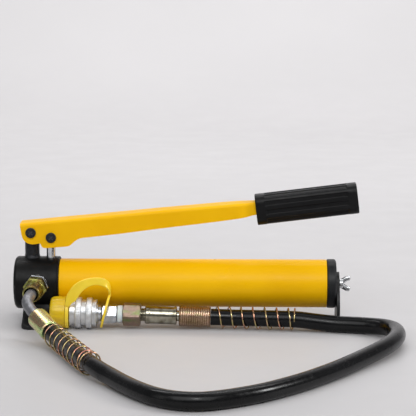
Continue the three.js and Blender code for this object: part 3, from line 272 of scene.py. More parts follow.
def hex_rows(across, start, end):
    """Rows of a hexagon whose corners are chamfered at both ends. Its corners lie on Y."""
    angles = np.arange(ROUND) * 2 * math.pi / ROUND
    beside = (angles % (math.pi / 3)) - math.pi / 6
    radii = across / 2 / np.cos(beside) * HEX_SIZE
    flat = np.full(ROUND, across / 2 * HEX_END)
    depth = (radii - flat) * HEX_CHAMFER
    stations = [
        (flat, np.full(ROUND, start)),
        (radii, start + depth),
        (radii, start + depth + HEX_SUPPORT),
        (radii, end - depth - HEX_SUPPORT),
        (radii, end - depth),
        (flat, np.full(ROUND, end)),
    ]
    cosines, sines = np.cos(angles), np.sin(angles)
    return [np.stack([along, radius * cosines, radius * sines], axis=1) for radius, along in stations]


def turned_piece(name, profile, material, matrix, corner=0.4, sides=ROUND, wrap=False):
    """A turned piece with rounded corners. A profile that wraps leaves the middle open."""
    rows = turned_rows(rounded(profile, corner, wrap=wrap), sides)
    return mesh_piece(name, *ringed(rows, wrap), material, matrix)


def ring_piece(name, bore, radius, start, end, material, matrix, corner, sides=ROUND):
    """A plain ring or tube with rounded corners."""
    profile = [(bore, start), (radius, start), (radius, end), (bore, end)]
    return turned_piece(name, profile, material, matrix, corner, sides, wrap=True)


def sweep(path, radius, sides):
    """Rows of a round section along a path of points, with no twist of its own."""
    path = np.array(path, float)
    tangents = np.gradient(path, axis=0)
    tangents /= np.linalg.norm(tangents, axis=1)[:, None]
    side = np.cross(tangents[0], (0.0, 0.0, 1.0))
    side /= np.linalg.norm(side)
    angles = np.arange(sides) * 2 * math.pi / sides
    rows = []
    for point, tangent in zip(path, tangents):
        side = side - tangent * (side @ tangent)
        side /= np.linalg.norm(side)
        up = np.cross(tangent, side)
        rows.append(point + radius * (np.outer(np.cos(angles), side) + np.outer(np.sin(angles), up)))
    return rows


def smooth_line(points, per_span=12):
    """Centripetal Catmull-Rom curve through the points."""
    points = [np.array(p, float) for p in points]
    ends = [2 * points[0] - points[1], 2 * points[-1] - points[-2]]
    knots = [ends[0], *points, ends[1]]
    line = []
    for before, start, end, after in zip(knots, knots[1:], knots[2:], knots[3:]):
        first, middle, last = (
            math.sqrt(np.linalg.norm(b - a)) for a, b in ((before, start), (start, end), (end, after))
        )
        leave = (start - before) / first - (end - before) / (first + middle) + (end - start) / middle
        arrive = (end - start) / middle - (after - start) / (middle + last) + (after - end) / last
        leave, arrive = leave * middle, arrive * middle
        for step in range(per_span):
            t = step / per_span
            line.append(
                start + leave * t
                + (3 * (end - start) - 2 * leave - arrive) * t**2
                + (2 * (start - end) + leave + arrive) * t**3
            )
    line.append(points[-1])
    return np.array(line)


class Line:
    """A line of points that can be read at a distance along it."""

    def __init__(self, points):
        self.points = np.array(points, float)
        steps = np.linalg.norm(np.diff(self.points, axis=0), axis=1)
        self.along = np.concatenate([[0], np.cumsum(steps)])
        self.length = self.along[-1]

    def at(self, distance):
        return np.stack([np.interp(distance, self.along, self.points[:, i]) for i in range(3)], axis=-1)

    def direction(self, distance):
        step = self.at(distance + 0.5) - self.at(distance - 0.5)
        return step / np.linalg.norm(step)


def extruded(outline, thickness):
    """Points and faces of a flat outline of (across, up), extruded both ways along X."""
    count = len(outline)
    points = [(side * thickness / 2, y, z) for side in (-1, 1) for y, z in outline]
    faces = [tuple(range(count))[::-1], tuple(range(count, 2 * count))]
    for i in range(count):
        k = (i + 1) % count
        faces.append((i, k, count + k, count + i))
    return points, faces


def soften(piece, width, segments=3, angle=30):
    """Rounds the piece's edges with a bevel."""
    bevel = piece.modifiers.new("soft_edges", "BEVEL")
    bevel.width = width * MM
    bevel.segments = segments
    bevel.limit_method = "ANGLE"
    bevel.angle_limit = math.radians(angle)
    bevel.harden_normals = True
    return piece


def apply_modifiers(piece):
    graph = bpy.context.evaluated_depsgraph_get()
    mesh = bpy.data.meshes.new_from_object(piece.evaluated_get(graph))
    piece.modifiers.clear()
    piece.data = mesh
    return piece


def combine(piece, others, operation="DIFFERENCE"):
    """Cuts the other solids from a piece, or joins them to it."""
    for other in others:
        change = piece.modifiers.new("combine", "BOOLEAN")
        change.operation = operation
        change.object = other
        change.solver = "EXACT"
    bpy.context.view_layer.update()
    apply_modifiers(piece)
    for other in others:
        bpy.data.objects.remove(other)
    piece.data.set_sharp_from_angle(angle=math.radians(SHARP_ANGLE))
    return piece


def repaint(piece, material):
    """The one material of a piece that was joined from several, or of a CAD piece."""
    piece.data.materials.clear()
    piece.data.materials.append(material)


def cutter(radius, start, end, matrix):
    rows = [circle_row(radius, start), circle_row(radius, end)]
    return mesh_piece("cutter", *ringed(rows), None, matrix)


def arc(centre, radius, start, end, steps=12):
    """Points of an arc in degrees about a centre of (across, up)."""
    angles = np.radians(np.linspace(start, end, steps + 1))
    return [(centre[0] + radius * math.cos(a), centre[1] + radius * math.sin(a)) for a in angles]


def show(piece, body, slot, *nodes):
    """The piece stands for the CAD nodes and rides on a body. Its slot argument is not used."""
    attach(piece, body)
    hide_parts(*nodes)
    return piece


# ------------------------------------------------------------------ materials


class Shader:
    """A Principled material with procedural detail in millimetres of the piece's own frame."""

    def __init__(self, name, roughness=0.4, metallic=0.0, **values):
        self.material = bpy.data.materials.new(name)
        self.material.use_nodes = True
        self.tree = self.material.node_tree
        self.surface = self.tree.nodes["Principled BSDF"]
        self.set("Roughness", roughness)
        self.set("Metallic", metallic)
        for key, value in values.items():
            self.set(key.replace("_", " "), value)
        place = self.tree.nodes.new("ShaderNodeTexCoord")
        scale = self.tree.nodes.new("ShaderNodeVectorMath")
        scale.operation = "SCALE"
        scale.inputs["Scale"].default_value = 1 / MM
        self.tree.links.new(place.outputs["Object"], scale.inputs[0])
        self.place = scale.outputs[0]
        self.relief = None

    def set(self, name, value):
        self.surface.inputs[name].default_value = value

    def link(self, source, target):
        self.tree.links.new(source, target)

    def stretched(self, factors):
        node = self.tree.nodes.new("ShaderNodeVectorMath")
        node.operation = "MULTIPLY"
        node.inputs[1].default_value = factors
        self.link(self.place, node.inputs[0])
        return node.outputs[0]

    def noise(self, size, detail=3.0, stretch=(1, 1, 1), rough=0.5):
        """Noise with features of about that many millimetres. A small factor stretches it that way."""
        node = self.tree.nodes.new("ShaderNodeTexNoise")
        node.inputs["Scale"].default_value = 1 / size
        node.inputs["Detail"].default_value = detail
        node.inputs["Roughness"].default_value = rough
        self.link(self.stretched(stretch), node.inputs["Vector"])
        return node.outputs["Fac"]

    def cells(self, size):
        node = self.tree.nodes.new("ShaderNodeTexVoronoi")
        node.inputs["Scale"].default_value = 1 / size
        self.link(self.place, node.inputs["Vector"])
        return node.outputs["Distance"]

    def edges(self):
        """How far a point stands out of its surroundings: about 0.5 on flat stretches."""
        return self.tree.nodes.new("ShaderNodeNewGeometry").outputs["Pointiness"]

    def map(self, source, low, high, start=0.3, end=0.7):
        node = self.tree.nodes.new("ShaderNodeMapRange")
        node.inputs["From Min"].default_value = start
        node.inputs["From Max"].default_value = end
        node.inputs["To Min"].default_value = low
        node.inputs["To Max"].default_value = high
        self.link(source, node.inputs["Value"])
        return node.outputs["Result"]

    def ramp(self, source, stops):
        node = self.tree.nodes.new("ShaderNodeValToRGB")
        elements = node.color_ramp.elements
        while len(elements) < len(stops):
            elements.new(1.0)
        for element, (position, color) in zip(elements, stops):
            element.position = position
            element.color = (*linear(color), 1)
        self.link(source, node.inputs["Fac"])
        return node.outputs["Color"]

    def mixed(self, factor, first, second):
        node = self.tree.nodes.new("ShaderNodeMix")
        node.data_type = "RGBA"
        self.link(factor, node.inputs["Factor"])
        self.link(first, node.inputs["A"])
        self.link(second, node.inputs["B"])
        return node.outputs["Result"]

    def color(self, source):
        self.link(source, self.surface.inputs["Base Color"])

    def roughness(self, source):
        self.link(source, self.surface.inputs["Roughness"])

    def bump(self, source, depth, strength=1.0):
        """Adds relief of that depth in millimetres, on top of any earlier relief."""
        node = self.tree.nodes.new("ShaderNodeBump")
        node.inputs["Strength"].default_value = strength
        node.inputs["Distance"].default_value = depth * MM
        self.link(source, node.inputs["Height"])
        if self.relief is not None:
            self.link(self.relief, node.inputs["Normal"])
        self.relief = node.outputs["Normal"]
        self.link(self.relief, self.surface.inputs["Normal"])


def linear(color):
    """An sRGB colour of 0 to 255 as linear light."""
    shares = [c / 255 for c in color]
    return [s / 12.92 if s <= 0.04045 else ((s + 0.055) / 1.055) ** 2.4 for s in shares]


def yellow_paint(name, gloss):
    """Stove enamel over steel: an even gold yellow, slight orange peel and a few dust specks."""
    shader = Shader(name, roughness=gloss, Specular_IOR_Level=0.12)
    tone = shader.ramp(
        shader.noise(55, 3), [(0.3, (237, 179, 1)), (0.5, (240, 183, 2)), (0.7, (243, 187, 4))]
    )
    specks = shader.map(shader.cells(9), 1, 0, 0.02, 0.045)
    shader.color(shader.mixed(specks, tone, shader.ramp(specks, [(0, (214, 152, 10)), (1, (214, 152, 10))])))
    shader.roughness(shader.map(shader.noise(14, 4), gloss - 0.05, gloss + 0.07))
    shader.bump(shader.noise(1.6, 2), 0.02, 0.35)
    shader.bump(shader.noise(28, 2), 0.12, 0.25)
    return shader.material


def black_paint():
    """Black enamel on turned and cast pieces, worn a little paler along its edges."""
    shader = Shader("black_paint", roughness=0.34, Specular_IOR_Level=0.15)
    tone = shader.ramp(shader.noise(12, 5), [(0.3, (12, 12, 12)), (0.7, (19, 19, 19))])
    worn = shader.ramp(shader.noise(2.5, 4), [(0.4, (34, 34, 35)), (0.7, (86, 85, 84))])
    shader.color(shader.mixed(shader.map(shader.edges(), 0, 0.6, 0.52, 0.56), tone, worn))
    shader.roughness(shader.map(shader.noise(4, 4), 0.3, 0.46))
    shader.bump(shader.noise(0.35, 2, (6, 0.4, 0.4)), 0.012, 0.4)
    shader.bump(shader.noise(0.9, 3), 0.03, 0.3)
    return shader.material


def turned_black():
    """Dark end cap, with the fine rings that the lathe left under its finish."""
    shader = Shader("turned_black", roughness=0.4, Specular_IOR_Level=0.25)
    rings = shader.noise(0.5, 3, (1, 0.02, 0.02))
    shader.color(shader.ramp(rings, [(0.3, (20, 21, 23)), (0.55, (28, 29, 31)), (0.75, (44, 45, 47))]))
    shader.roughness(shader.map(rings, 0.32, 0.5))
    shader.bump(rings, 0.03, 0.5)
    shader.bump(shader.noise(0.8, 3), 0.02, 0.3)
    return shader.material


def sheet_black():
    """Black paint on pressed sheet, with a fine wrinkle."""
    shader = Shader("sheet_black", roughness=0.45, Specular_IOR_Level=0.35)
    shader.color(shader.ramp(shader.noise(8, 4), [(0.3, (18, 18, 19)), (0.7, (27, 27, 28))]))
    shader.roughness(shader.map(shader.noise(3, 3), 0.38, 0.52))
    shader.bump(shader.noise(0.5, 3), 0.03, 0.5)
    return shader.material


def black_oxide():
    """Blackened steel of the post, the pins and the screws."""
    shader = Shader("black_oxide", roughness=0.35, metallic=0.55)
    tone = shader.ramp(shader.noise(3, 5), [(0.3, (26, 27, 30)), (0.7, (44, 45, 49))])
    rubbed = shader.ramp(shader.noise(1.2, 3), [(0.4, (70, 70, 73)), (0.7, (120, 120, 122))])
    shader.color(shader.mixed(shader.map(shader.edges(), 0, 0.45, 0.52, 0.57), tone, rubbed))
    shader.roughness(shader.map(shader.noise(2, 4), 0.26, 0.48))
    shader.bump(shader.noise(0.3, 3), 0.02, 0.45)
    return shader.material


def bright_metal(name, dark, light, gloss, grain=(1, 0.05, 0.05), size=0.35):
    """Plated or polished steel with fine marks, which a small grain factor stretches that way."""
    shader = Shader(name, roughness=gloss, metallic=1.0)
    shader.color(shader.ramp(shader.noise(6, 4), [(0.3, dark), (0.7, light)]))
    shader.roughness(shader.map(shader.noise(size * 4, 4, grain), gloss * 0.7, gloss * 1.5))
    shader.bump(shader.noise(size, 2, grain), 0.01, 0.35)
    return shader.material


def yellow_zinc(name, colors, gloss, stretch=(0.35, 1, 1), size=9.0):
    """Yellow-passivated zinc: olive gold that drifts through green and pink, as its passivation is uneven. On
    the near ferrule's sleeve, the streaks along its axis are also painted reflection.
    """
    shader = Shader(name, roughness=gloss, metallic=1.0)
    film_and_painted_reflection = shader.noise(size, 4, stretch, 0.55)
    count = len(colors)
    stops = [(0.3 + 0.4 * i / (count - 1), color) for i, color in enumerate(colors)]
    clouds = shader.ramp(film_and_painted_reflection, stops)
    dull = shader.ramp(shader.noise(1.4, 4), [(0.35, (126, 112, 76)), (0.7, (196, 186, 140))])
    shader.color(shader.mixed(shader.map(shader.noise(3, 4), 0.0, 0.5, 0.5, 0.75), clouds, dull))
    shader.roughness(shader.map(shader.noise(1.5, 4), gloss * 0.75, gloss * 1.4))
    shader.bump(shader.noise(0.3, 3, (1, 0.2, 0.2)), 0.012, 0.4)
    return shader.material


def pipe_grey():
    shader = Shader("pipe_grey", roughness=0.42, metallic=0.75)
    shader.color(shader.ramp(shader.noise(7, 4), [(0.3, (112, 112, 116)), (0.7, (146, 146, 150))]))
    shader.roughness(shader.map(shader.noise(2, 4), 0.34, 0.52))
    shader.bump(shader.noise(0.4, 3), 0.02, 0.4)
    return shader.material


def rubber(name, dark, light, gloss, grain=0.6, depth=0.03, shine=0.18):
    """Black rubber or plastic: fine mould grain, and bloom that makes it paler in patches."""
    shader = Shader(name, roughness=gloss, Specular_IOR_Level=shine)
    shader.color(shader.ramp(shader.noise(16, 4), [(0.3, dark), (0.7, light)]))
    shader.roughness(shader.map(shader.noise(5, 4), gloss - 0.06, gloss + 0.08))
    shader.bump(shader.noise(grain, 3), depth, 0.4)
    return shader.material


def cap_plastic(name, dark, light):
    """Lemon-yellow polythene that light enters a little."""
    shader = Shader(
        name,
        roughness=0.34,
        Subsurface_Weight=0.12,
        Subsurface_Radius=(0.004, 0.003, 0.0005),
        Coat_Weight=0.15,
    )
    shader.color(shader.ramp(shader.noise(11, 3), [(0.3, dark), (0.7, light)]))
    shader.roughness(shader.map(shader.noise(3, 3), 0.28, 0.42))
    shader.bump(shader.noise(0.7, 2), 0.02, 0.3)
    return shader.material


def tape_white():
    """Wound thread-seal tape: thin layers with frayed edges."""
    shader = Shader("tape_white", roughness=0.55, Subsurface_Weight=0.2)
    layers = shader.noise(0.5, 3, (1, 0.12, 0.12))
    shader.color(shader.ramp(layers, [(0.3, (232, 231, 226)), (0.6, (250, 250, 247))]))
    shader.bump(layers, 0.09, 0.5)
    return shader.material


TANK_PAINT = yellow_paint("tank_paint", 0.32)
LEVER_PAINT = yellow_paint("lever_paint", 0.42)
HEAD_PAINT = black_paint()
CAP_BLACK = turned_black()
SHEET_BLACK = sheet_black()
OXIDE = black_oxide()
CHROME = bright_metal("chrome", (196, 198, 202), (226, 228, 231), 0.09)
NICKEL = bright_metal("nickel", (176, 178, 180), (214, 216, 218), 0.16)
STEEL = bright_metal("steel", (140, 142, 146), (178, 180, 184), 0.3)
ZINC = bright_metal("zinc", (176, 180, 186), (212, 215, 220), 0.22)
ZINC_MATT = bright_metal("zinc_matt", (196, 198, 200), (226, 227, 229), 0.38, (1, 1, 1), 0.5)
POLISHED = bright_metal("polished_tail", (112, 106, 88), (176, 172, 156), 0.16, (0.05, 1, 1))
BRASS = bright_metal("brass", (150, 116, 56), (196, 160, 88), 0.3)
SPRING_STEEL = bright_metal("spring_steel", (116, 118, 122), (156, 158, 162), 0.3)
NUT_ZINC = yellow_zinc("nut_zinc", [(88, 72, 42), (126, 106, 62), (160, 164, 92), (110, 90, 56)], 0.3)
HEX_ZINC = yellow_zinc("hex_zinc", [(112, 132, 82), (136, 119, 102), (143, 121, 112), (119, 136, 87)], 0.46)
# The near ferrule's sleeve: partly the zinc's tint, partly painted reflection, as pale and green streaks
# along its axis.
SLEEVE_ZINC_AND_REFLECTIONS = yellow_zinc(
    "sleeve_zinc_and_painted_reflections",
    [(150, 200, 140), (214, 226, 158), (204, 164, 132), (158, 210, 152)],
    0.26,
    (0.15, 1, 1),
    6.0,
)
RIB_ZINC = yellow_zinc(
    "rib_zinc", [(136, 114, 86), (166, 140, 114), (186, 158, 138), (150, 142, 104)], 0.3, (0.4, 1, 1), 7.0
)
WIRE_ZINC = yellow_zinc(
    "wire_zinc", [(220, 146, 134), (202, 152, 126), (178, 170, 114), (226, 166, 156)], 0.2, (1, 1, 1), 14.0
)
PIPE = pipe_grey()
GRIP_PLASTIC = rubber("grip_plastic", (10, 10, 11), (17, 17, 18), 0.38)
HOSE_RUBBER = rubber("hose_rubber", (4, 4, 5), (9, 9, 10), 0.22, 0.9, 0.012, 0.25)
SEAL_RUBBER = rubber("seal_rubber", (16, 16, 16), (26, 26, 26), 0.6)
BLADDER_RUBBER = rubber("bladder_rubber", (38, 34, 30), (52, 47, 42), 0.62)
CAP_PLASTIC = cap_plastic("cap_plastic", (216, 178, 6), (228, 193, 16))
# The strap takes the cap's plastic made paler and whiter: a painted highlight.
STRAP_PLASTIC_PAINTED_HIGHLIGHT = cap_plastic("strap_plastic_painted_highlight", (240, 206, 40), (247, 216, 58))
TAPE = tape_white()

# ------------------------------------------------------------------ pump head, foot and valves


SOCKET_PAST = 12  # how far a socket's cutter reaches past its node
PORT_FACE = 2.9  # the machined face round the port's washer
HEAD_RIM = 2.4
HEAD_GROOVE = 0.35  # depth of the fine groove near the head's back
HEAD_NECK = 17.0


def head_socket(node, direction):
    """The hole in the head that a turned node sits in, from the node's inner end outwards."""
    seat = Turned(node, direction)
    return cutter(seat.radius + GAP, 0, seat.length + SOCKET_PAST, seat.matrix)


def make_head():
    low, high = box_of("pump_head")
    radius = (high[1] - low[1]) / 2
    front, back = low[0], tank_low[0] - GAP
    spigot = radius - 4.8
    spigot_end = back + 9
    profile = [
        (0, front),
        (radius - HEAD_RIM, front),
        (radius, front + HEAD_RIM),
        (radius, back - 2.2),
        (radius - HEAD_GROOVE, back - 2.0),
        (radius - HEAD_GROOVE, back - 1.6),
        (radius, back - 1.4),
        (radius, back - 0.6),
        (radius - 0.6, back),
        (spigot, back),
        (spigot, spigot_end),
        (HEAD_NECK, spigot_end),
        (HEAD_NECK, high[0]),
        (0, high[0]),
    ]
    head = turned_piece("head_casting", profile, HEAD_PAINT, PUMP, 1.2, FINE)
    port = Turned("port_washer", PORT_TOWARDS)
    post_low, post_high = box_of("fulcrum_post")
    post_middle = (post_low + post_high) / 2
    post_frame = placed((post_middle[0], 0, AXIS_HEIGHT + radius - 1.7), (0, 0, 1))
    holes = [
        head_socket("plunger_gland", (0, 0, 1)),
        head_socket("release_gland", (0, 1, 0)),
        head_socket("relief_screw", (0, 1, 0)),
        head_socket("delivery_plug", (-1, 0, 0)),
        cutter(port.radius + PORT_FACE, 0, 20, port.matrix),
        cutter((post_high[0] - post_low[0]) / 2 + GAP, 0, 10, post_frame),
    ]
    show(combine(head, holes), "root", "black_paint", "pump_head")


def make_foot():
    """The cast foot: a broad tapering block, with its tips rounded in plan and a saddle for the head."""
    low, high = box_of("front_foot")
    half_width, half_length = high[1], (high[0] - low[0]) / 2
    corner, edge = 9.0, 3.5
    head_low, head_high = box_of("pump_head")
    saddle = (head_high[1] - head_low[1]) / 2 + GAP
    saddle_half = 20.0
    saddle_top = AXIS_HEIGHT - math.sqrt(saddle**2 - saddle_half**2)
    ends = np.array([[saddle_half, saddle_top], [half_width, edge]])
    handles = np.array([[saddle_half + 6, saddle_top - 11], [half_width - 14, edge + 3.4]])
    slope = np.linspace(0, 1, 60)[:, None]
    curve = (
        (1 - slope) ** 3 * ends[0]
        + 3 * slope * (1 - slope) ** 2 * handles[0]
        + 3 * slope**2 * (1 - slope) * handles[1]
        + slope**3 * ends[1]
    )
    right = np.concatenate([np.linspace(0, saddle_half, 16)[:-1], curve[:, 0]])
    stations = np.concatenate([-right[:0:-1], right])
    rows = []
    for y in stations:
        reach = max(abs(y) - (half_width - corner), 0)
        half = half_length - corner + math.sqrt(max(corner**2 - reach**2, 4.0))
        if abs(y) < saddle_half:
            top = AXIS_HEIGHT - math.sqrt(saddle**2 - y * y)
        else:
            top = np.interp(abs(y), curve[:, 0], curve[:, 1])
        soft = min(2.2, top * 0.45)
        section = [(-half, 0.5), (-half + 0.5, 0), (half - 0.5, 0), (half, 0.5)]
        section += arc((half - soft, top - soft), soft, 0, 90, 6)
        section += arc((soft - half, top - soft), soft, 90, 180, 6)
        rows.append(np.array([(x, y, z) for x, z in section]))
    foot = mesh_piece("foot_casting", *ringed(rows), SHEET_BLACK, Matrix.Identity(4))
    holes = []
    for node in ("foot_screw_near", "foot_screw_far"):
        screw = Turned(node, (0, 0, 1))
        holes.append(cutter(screw.radius + GAP, -5, 7.5, screw.matrix))
        make_socket_screw(node, screw)
    show(combine(foot, holes), "root", "cast_iron_black", "front_foot")


def make_socket_screw(node, screw):
    """A socket-head screw with its head down: round rim, hexagon socket, plain shank."""
    head = 5.5
    shank = screw.radius / SCREW_HEAD_RATIO
    profile = [(0, 0), (screw.radius, 0), (screw.radius, head), (shank, head), (shank, screw.length)]
    made = turned_piece(f"{node}_steel", [*profile, (0, screw.length)], OXIDE, screw.matrix, 0.5)
    socket = mesh_piece("cutter", *ringed(hex_rows(5, -1, 2.6)), None, screw.matrix)
    show(combine(made, [socket]), "root", "black_oxide", node)


def make_plugs():
    """The delivery plug and the relief screw, each with a hexagon socket."""
    for node, direction, across in (("delivery_plug", (-1, 0, 0), 6), ("relief_screw", (0, 1, 0), 4)):
        plug = Turned(node, direction)
        profile = [(0, 0), (plug.radius, 0), (plug.radius, plug.length), (0, plug.length)]
        made = turned_piece(f"{node}_steel", profile, OXIDE, plug.matrix, 0.6)
        rows = hex_rows(across, plug.length - 4, plug.length + 2)
        socket = mesh_piece("cutter", *ringed(rows), None, plug.matrix)
        show(combine(made, [socket]), "root", "black_oxide", node)


def make_release_valve():
    gland = Turned("release_gland", (0, 1, 0))
    spindle = 4.0
    bore = spindle + RUN
    made = ring_piece("release_gland_nut", bore, gland.radius, 0, gland.length, OXIDE, gland.matrix, 0.6)
    show(made, "root", "black_oxide", "release_gland")
    knob = Turned("release_knob", (0, 1, 0))
    outer = knob.radius
    outline = rounded(
        [(0, 0), (outer - 4, 0), (outer, 3), (outer, knob.length - 1.2), (outer - 2, knob.length),
         (outer - 5, knob.length), (outer - 6, knob.length - 0.8), (0, knob.length - 0.8)], 1.0
    )
    flutes, flute_depth = 10, 0.09

    def fluted(radius):
        depth = flute_depth * min(1.0, max(0.0, (radius / outer - 0.6) / 0.35))
        return lambda angles: 1 - depth * (0.5 + 0.5 * np.cos(flutes * angles)) ** 3

    rows = [circle_row(max(r, POINT), along, 160, fluted(r)) for r, along in outline]
    handwheel = mesh_piece("release_handwheel", *ringed(rows), GRIP_PLASTIC, knob.matrix)
    show(handwheel, "release_valve", "grip_plastic", "release_knob")


# ------------------------------------------------------------------ post, plunger and pins


def make_post():
    low, high = box_of("fulcrum_post")
    pin = Turned("fulcrum_pin", (0, -1, 0))
    flare = (high[0] - low[0]) / 2
    radius = flare - 0.9
    middle = (low[0] + high[0]) / 2
    foot_level = low[2] + 13.3
    tenon = 6
    tongue_radius, tongue_thickness = 7.0, 12.1
    shoulder = pin.start[2] - 8.5
    place = placed((middle, 0, 0), (0, 0, 1))
    profile = [
        (0, low[2]), (tenon, low[2]), (tenon, foot_level), (flare, foot_level), (flare, foot_level + 1.2),
        (radius, foot_level + 4), (radius, shoulder), (0, shoulder),
    ]
    column = turned_piece("post_column", profile, OXIDE, place, 0.7)
    top = pin.start[2]
    outline = arc((0, top), tongue_radius, 0, 180, 24)
    outline += [(-tongue_radius, shoulder - 1), (tongue_radius, shoulder - 1)]
    quarter = Matrix.Translation((middle, 0, 0)) @ Matrix.Rotation(math.pi / 2, 4, "Z")
    tongue = mesh_piece("tongue", *extruded(outline, tongue_thickness), None, quarter)
    combine(column, [tongue], "UNION")
    hole = cutter(pin.radius / PIN_HEAD_RATIO + RUN, -20, 20, placed((middle, 0, top), (0, 1, 0)))
    post = combine(column, [hole])
    post.name = "post_turned"
    repaint(post, OXIDE)
    show(soften(post, 0.4), "root", "black_oxide", "fulcrum_post")


def make_plunger():
    low, high = box_of("plunger")
    gland = Turned("plunger_gland", (0, 0, 1))
    pin = Turned("plunger_pin", (0, -1, 0))
    x, top = gland.start[0], pin.start[2]
    eye_radius = high[2] - top
    left, right = low[0] - x + eye_radius, high[0] - x - eye_radius
    rod_radius, eye_thickness, slot_radius = 5.0, 13, 4.6
    place = placed((x, 0, 0), (0, 0, 1))
    rod_top = top - eye_radius + 1
    profile = [(0, low[2]), (rod_radius, low[2]), (rod_radius, rod_top), (0, rod_top)]
    rod = turned_piece("plunger_ground", profile, CHROME, place, 0.5)
    outline = arc((right, top), eye_radius, 0, 90, 10) + arc((left, top), eye_radius, 90, 180, 10)
    outline += [
        (left - eye_radius, top - eye_radius * 0.4),
        (-rod_radius, top - eye_radius - 1.4),
        (rod_radius, top - eye_radius - 1.4),
        (right + eye_radius, top - eye_radius * 0.4),
    ]
    across = Matrix.Translation((x, 0, 0)) @ Matrix.Rotation(-math.pi / 2, 4, "Z")
    eye = mesh_piece("eye", *extruded(outline, eye_thickness), None, across)
    combine(rod, [eye], "UNION")
    slot = arc((right, top), slot_radius, -90, 90, 10) + arc((left, top), slot_radius, 90, 270, 10)
    slot = mesh_piece("cutter", *extruded(slot, 20), None, across)
    plunger = combine(rod, [slot])
    repaint(plunger, CHROME)
    show(soften(plunger, 0.4), "plunger", "chrome", "plunger")
    outer, bore = gland.radius, rod_radius + RUN
    profile = [(bore, 0), (outer, 0), (outer, gland.length - 0.6), (outer - 0.6, gland.length),
               (bore + 1.4, gland.length), (bore, gland.length - 1.4)]
    nut = turned_piece("plunger_gland_nut", profile, OXIDE, gland.matrix, 0.3, wrap=True)
    show(nut, "root", "black_oxide", "plunger_gland")


def make_pins():
    """Both headed pins with their clips. A pin runs from its tail to its head."""
    for name, body in (("fulcrum", "root"), ("plunger", "lever")):
        pin = Turned(f"{name}_pin", (0, -1, 0))
        head, head_radius = 2.0, pin.radius
        shank = head_radius / PIN_HEAD_RATIO
        under = pin.length - head
        clip_low, clip_high = box_of(f"{name}_clip")
        groove_end = pin.start[1] - clip_low[1] + 0.2
        groove_start = pin.start[1] - clip_high[1] - 0.2
        profile = [
            (0, 0), (shank, 0), (shank, groove_start), (shank - 0.8, groove_start),
            (shank - 0.8, groove_end), (shank, groove_end), (shank, under), (head_radius, under),
            (head_radius, pin.length - 0.5), (head_radius - 0.9, pin.length),
            (head_radius - 2.2, pin.length - 0.25), (0, pin.length - 0.25),
        ]
        made = turned_piece(f"{name}_pin_turned", profile, OXIDE, pin.matrix, 0.35)
        show(made, body, "black_oxide", f"{name}_pin")
        clip = mesh_clip(name, clip_low, clip_high, shank)
        show(clip, body, "steel", f"{name}_clip")


def mesh_clip(name, low, high, shank):
    """An E-shaped spring clip, open at the bottom."""
    middle = (low + high) / 2
    outer, inner = (high[0] - low[0]) / 2, shank - 0.6
    opening = 40
    outline = arc((0, 0), outer, opening - 90, 270 - opening, 40)
    outline += arc((0, 0), inner, 270 - opening, opening - 90, 40)
    centre = (middle[0], middle[1], high[2] - outer)
    place = Matrix.Translation(centre) @ Matrix.Rotation(math.pi / 2, 4, "Z")
    return soften(mesh_piece(f"{name}_clip_ring", *extruded(outline, high[1] - low[1]), STEEL, place), 0.2)


# ------------------------------------------------------------------ lever and grip

LEVER_SHEET = 2.5
LEVER_BEND = 3.4  # outer radius of the two folds
NECK_X = 214  # the cheeks draw in from here to the grip
NECK_END_X = 231.4
NECK_HALF = 9.5
GRIP_TILT = 7.0
GRIP_LENGTH = 108
GRIP_HEIGHT = 32
GRIP_COLLAR = 9.5  # smooth stretch at both ends
GRIP_CORNER = 9.0
GRIP_SIDES = 240
RIB_PITCH = 9.0
RIB_DEPTH = 1.15
RIB_TOP = 0.72  # how much of the wave between ribs is cut flat
RIB_FLANK = 0.35
POCKET_HALF = (9.8, 6.6)  # the grip's pocket for the tang, across and up
POCKET_LENGTH = 70
POCKET_PLACE = (26, 0, 2.3)  # its middle, from the grip's front end
FRONT_LENGTH = 26  # stretch over which the lever's slanted front end turns upright

# The cheeks' lower edge and the top fold: (x, height over the pump axis), from the front backwards.
LEVER_UNDERSIDE = [
    (-15.6, 53.6), (-15.0, 51.6), (-14, 49.2), (-11.8, 46.4), (-8.7, 44.5), (-5.1, 43.6), (-0.5, 43.8),
    (3.7, 44.25), (4.4, 43.9), (5.2, 42.2), (6.0, 40.6), (7.2, 39.9), (10.5, 39.5), (22, 40.45), (32.6, 41.4),
    (34.8, 42.0), (36.6, 43.1), (39.5, 45.8), (43, 48.4), (47.2, 50.2), (56, 51.4), (89, 55.3), (131, 61),
    (194, 69), (222, 73.2), (230.5, 75.2), (326, 86.9),
]
LEVER_TOP = [(-17.4, 65.3), (66, 73.4), (130, 79.8), (194, 85.8), (230.5, 88.6), (326, 100.3)]


def make_lever():
    """The folded channel: a top and two cheeks of one sheet, drawn in to a tang at the grip."""
    below = smooth_line([(x, 0, z) for x, z in LEVER_UNDERSIDE], 8)
    top_x, top_z = zip(*LEVER_TOP)
    front_slant = LEVER_UNDERSIDE[0][0] - LEVER_TOP[0][0]
    half_width = (box_of("lever")[1][1] - box_of("lever")[0][1]) / 2
    rows = []
    for x, _, bottom in below:
        fade = max(0.0, 1 - (x - LEVER_UNDERSIDE[0][0]) / FRONT_LENGTH)
        ridge_x = x - front_slant * fade
        ridge_z = np.interp(ridge_x, top_x, top_z)
        share = np.clip((x - NECK_X) / (NECK_END_X - NECK_X), 0, 1)
        half = half_width + (NECK_HALF - half_width) * share * share * (3 - 2 * share)
        rows.append(channel_section(half, bottom, ridge_z, x, ridge_x))
    lever = mesh_piece("lever_channel", *ringed(rows), LEVER_PAINT, PUMP)
    holes = []
    for name in ("fulcrum", "plunger"):
        pin = Turned(f"{name}_pin", (0, -1, 0))
        holes.append(cutter(pin.radius / PIN_HEAD_RATIO + RUN, -5, 45, pin.matrix))
    lever = combine(lever, holes)
    show(soften(lever, 0.35, 2, 40), "lever", "yellow_paint", "lever")


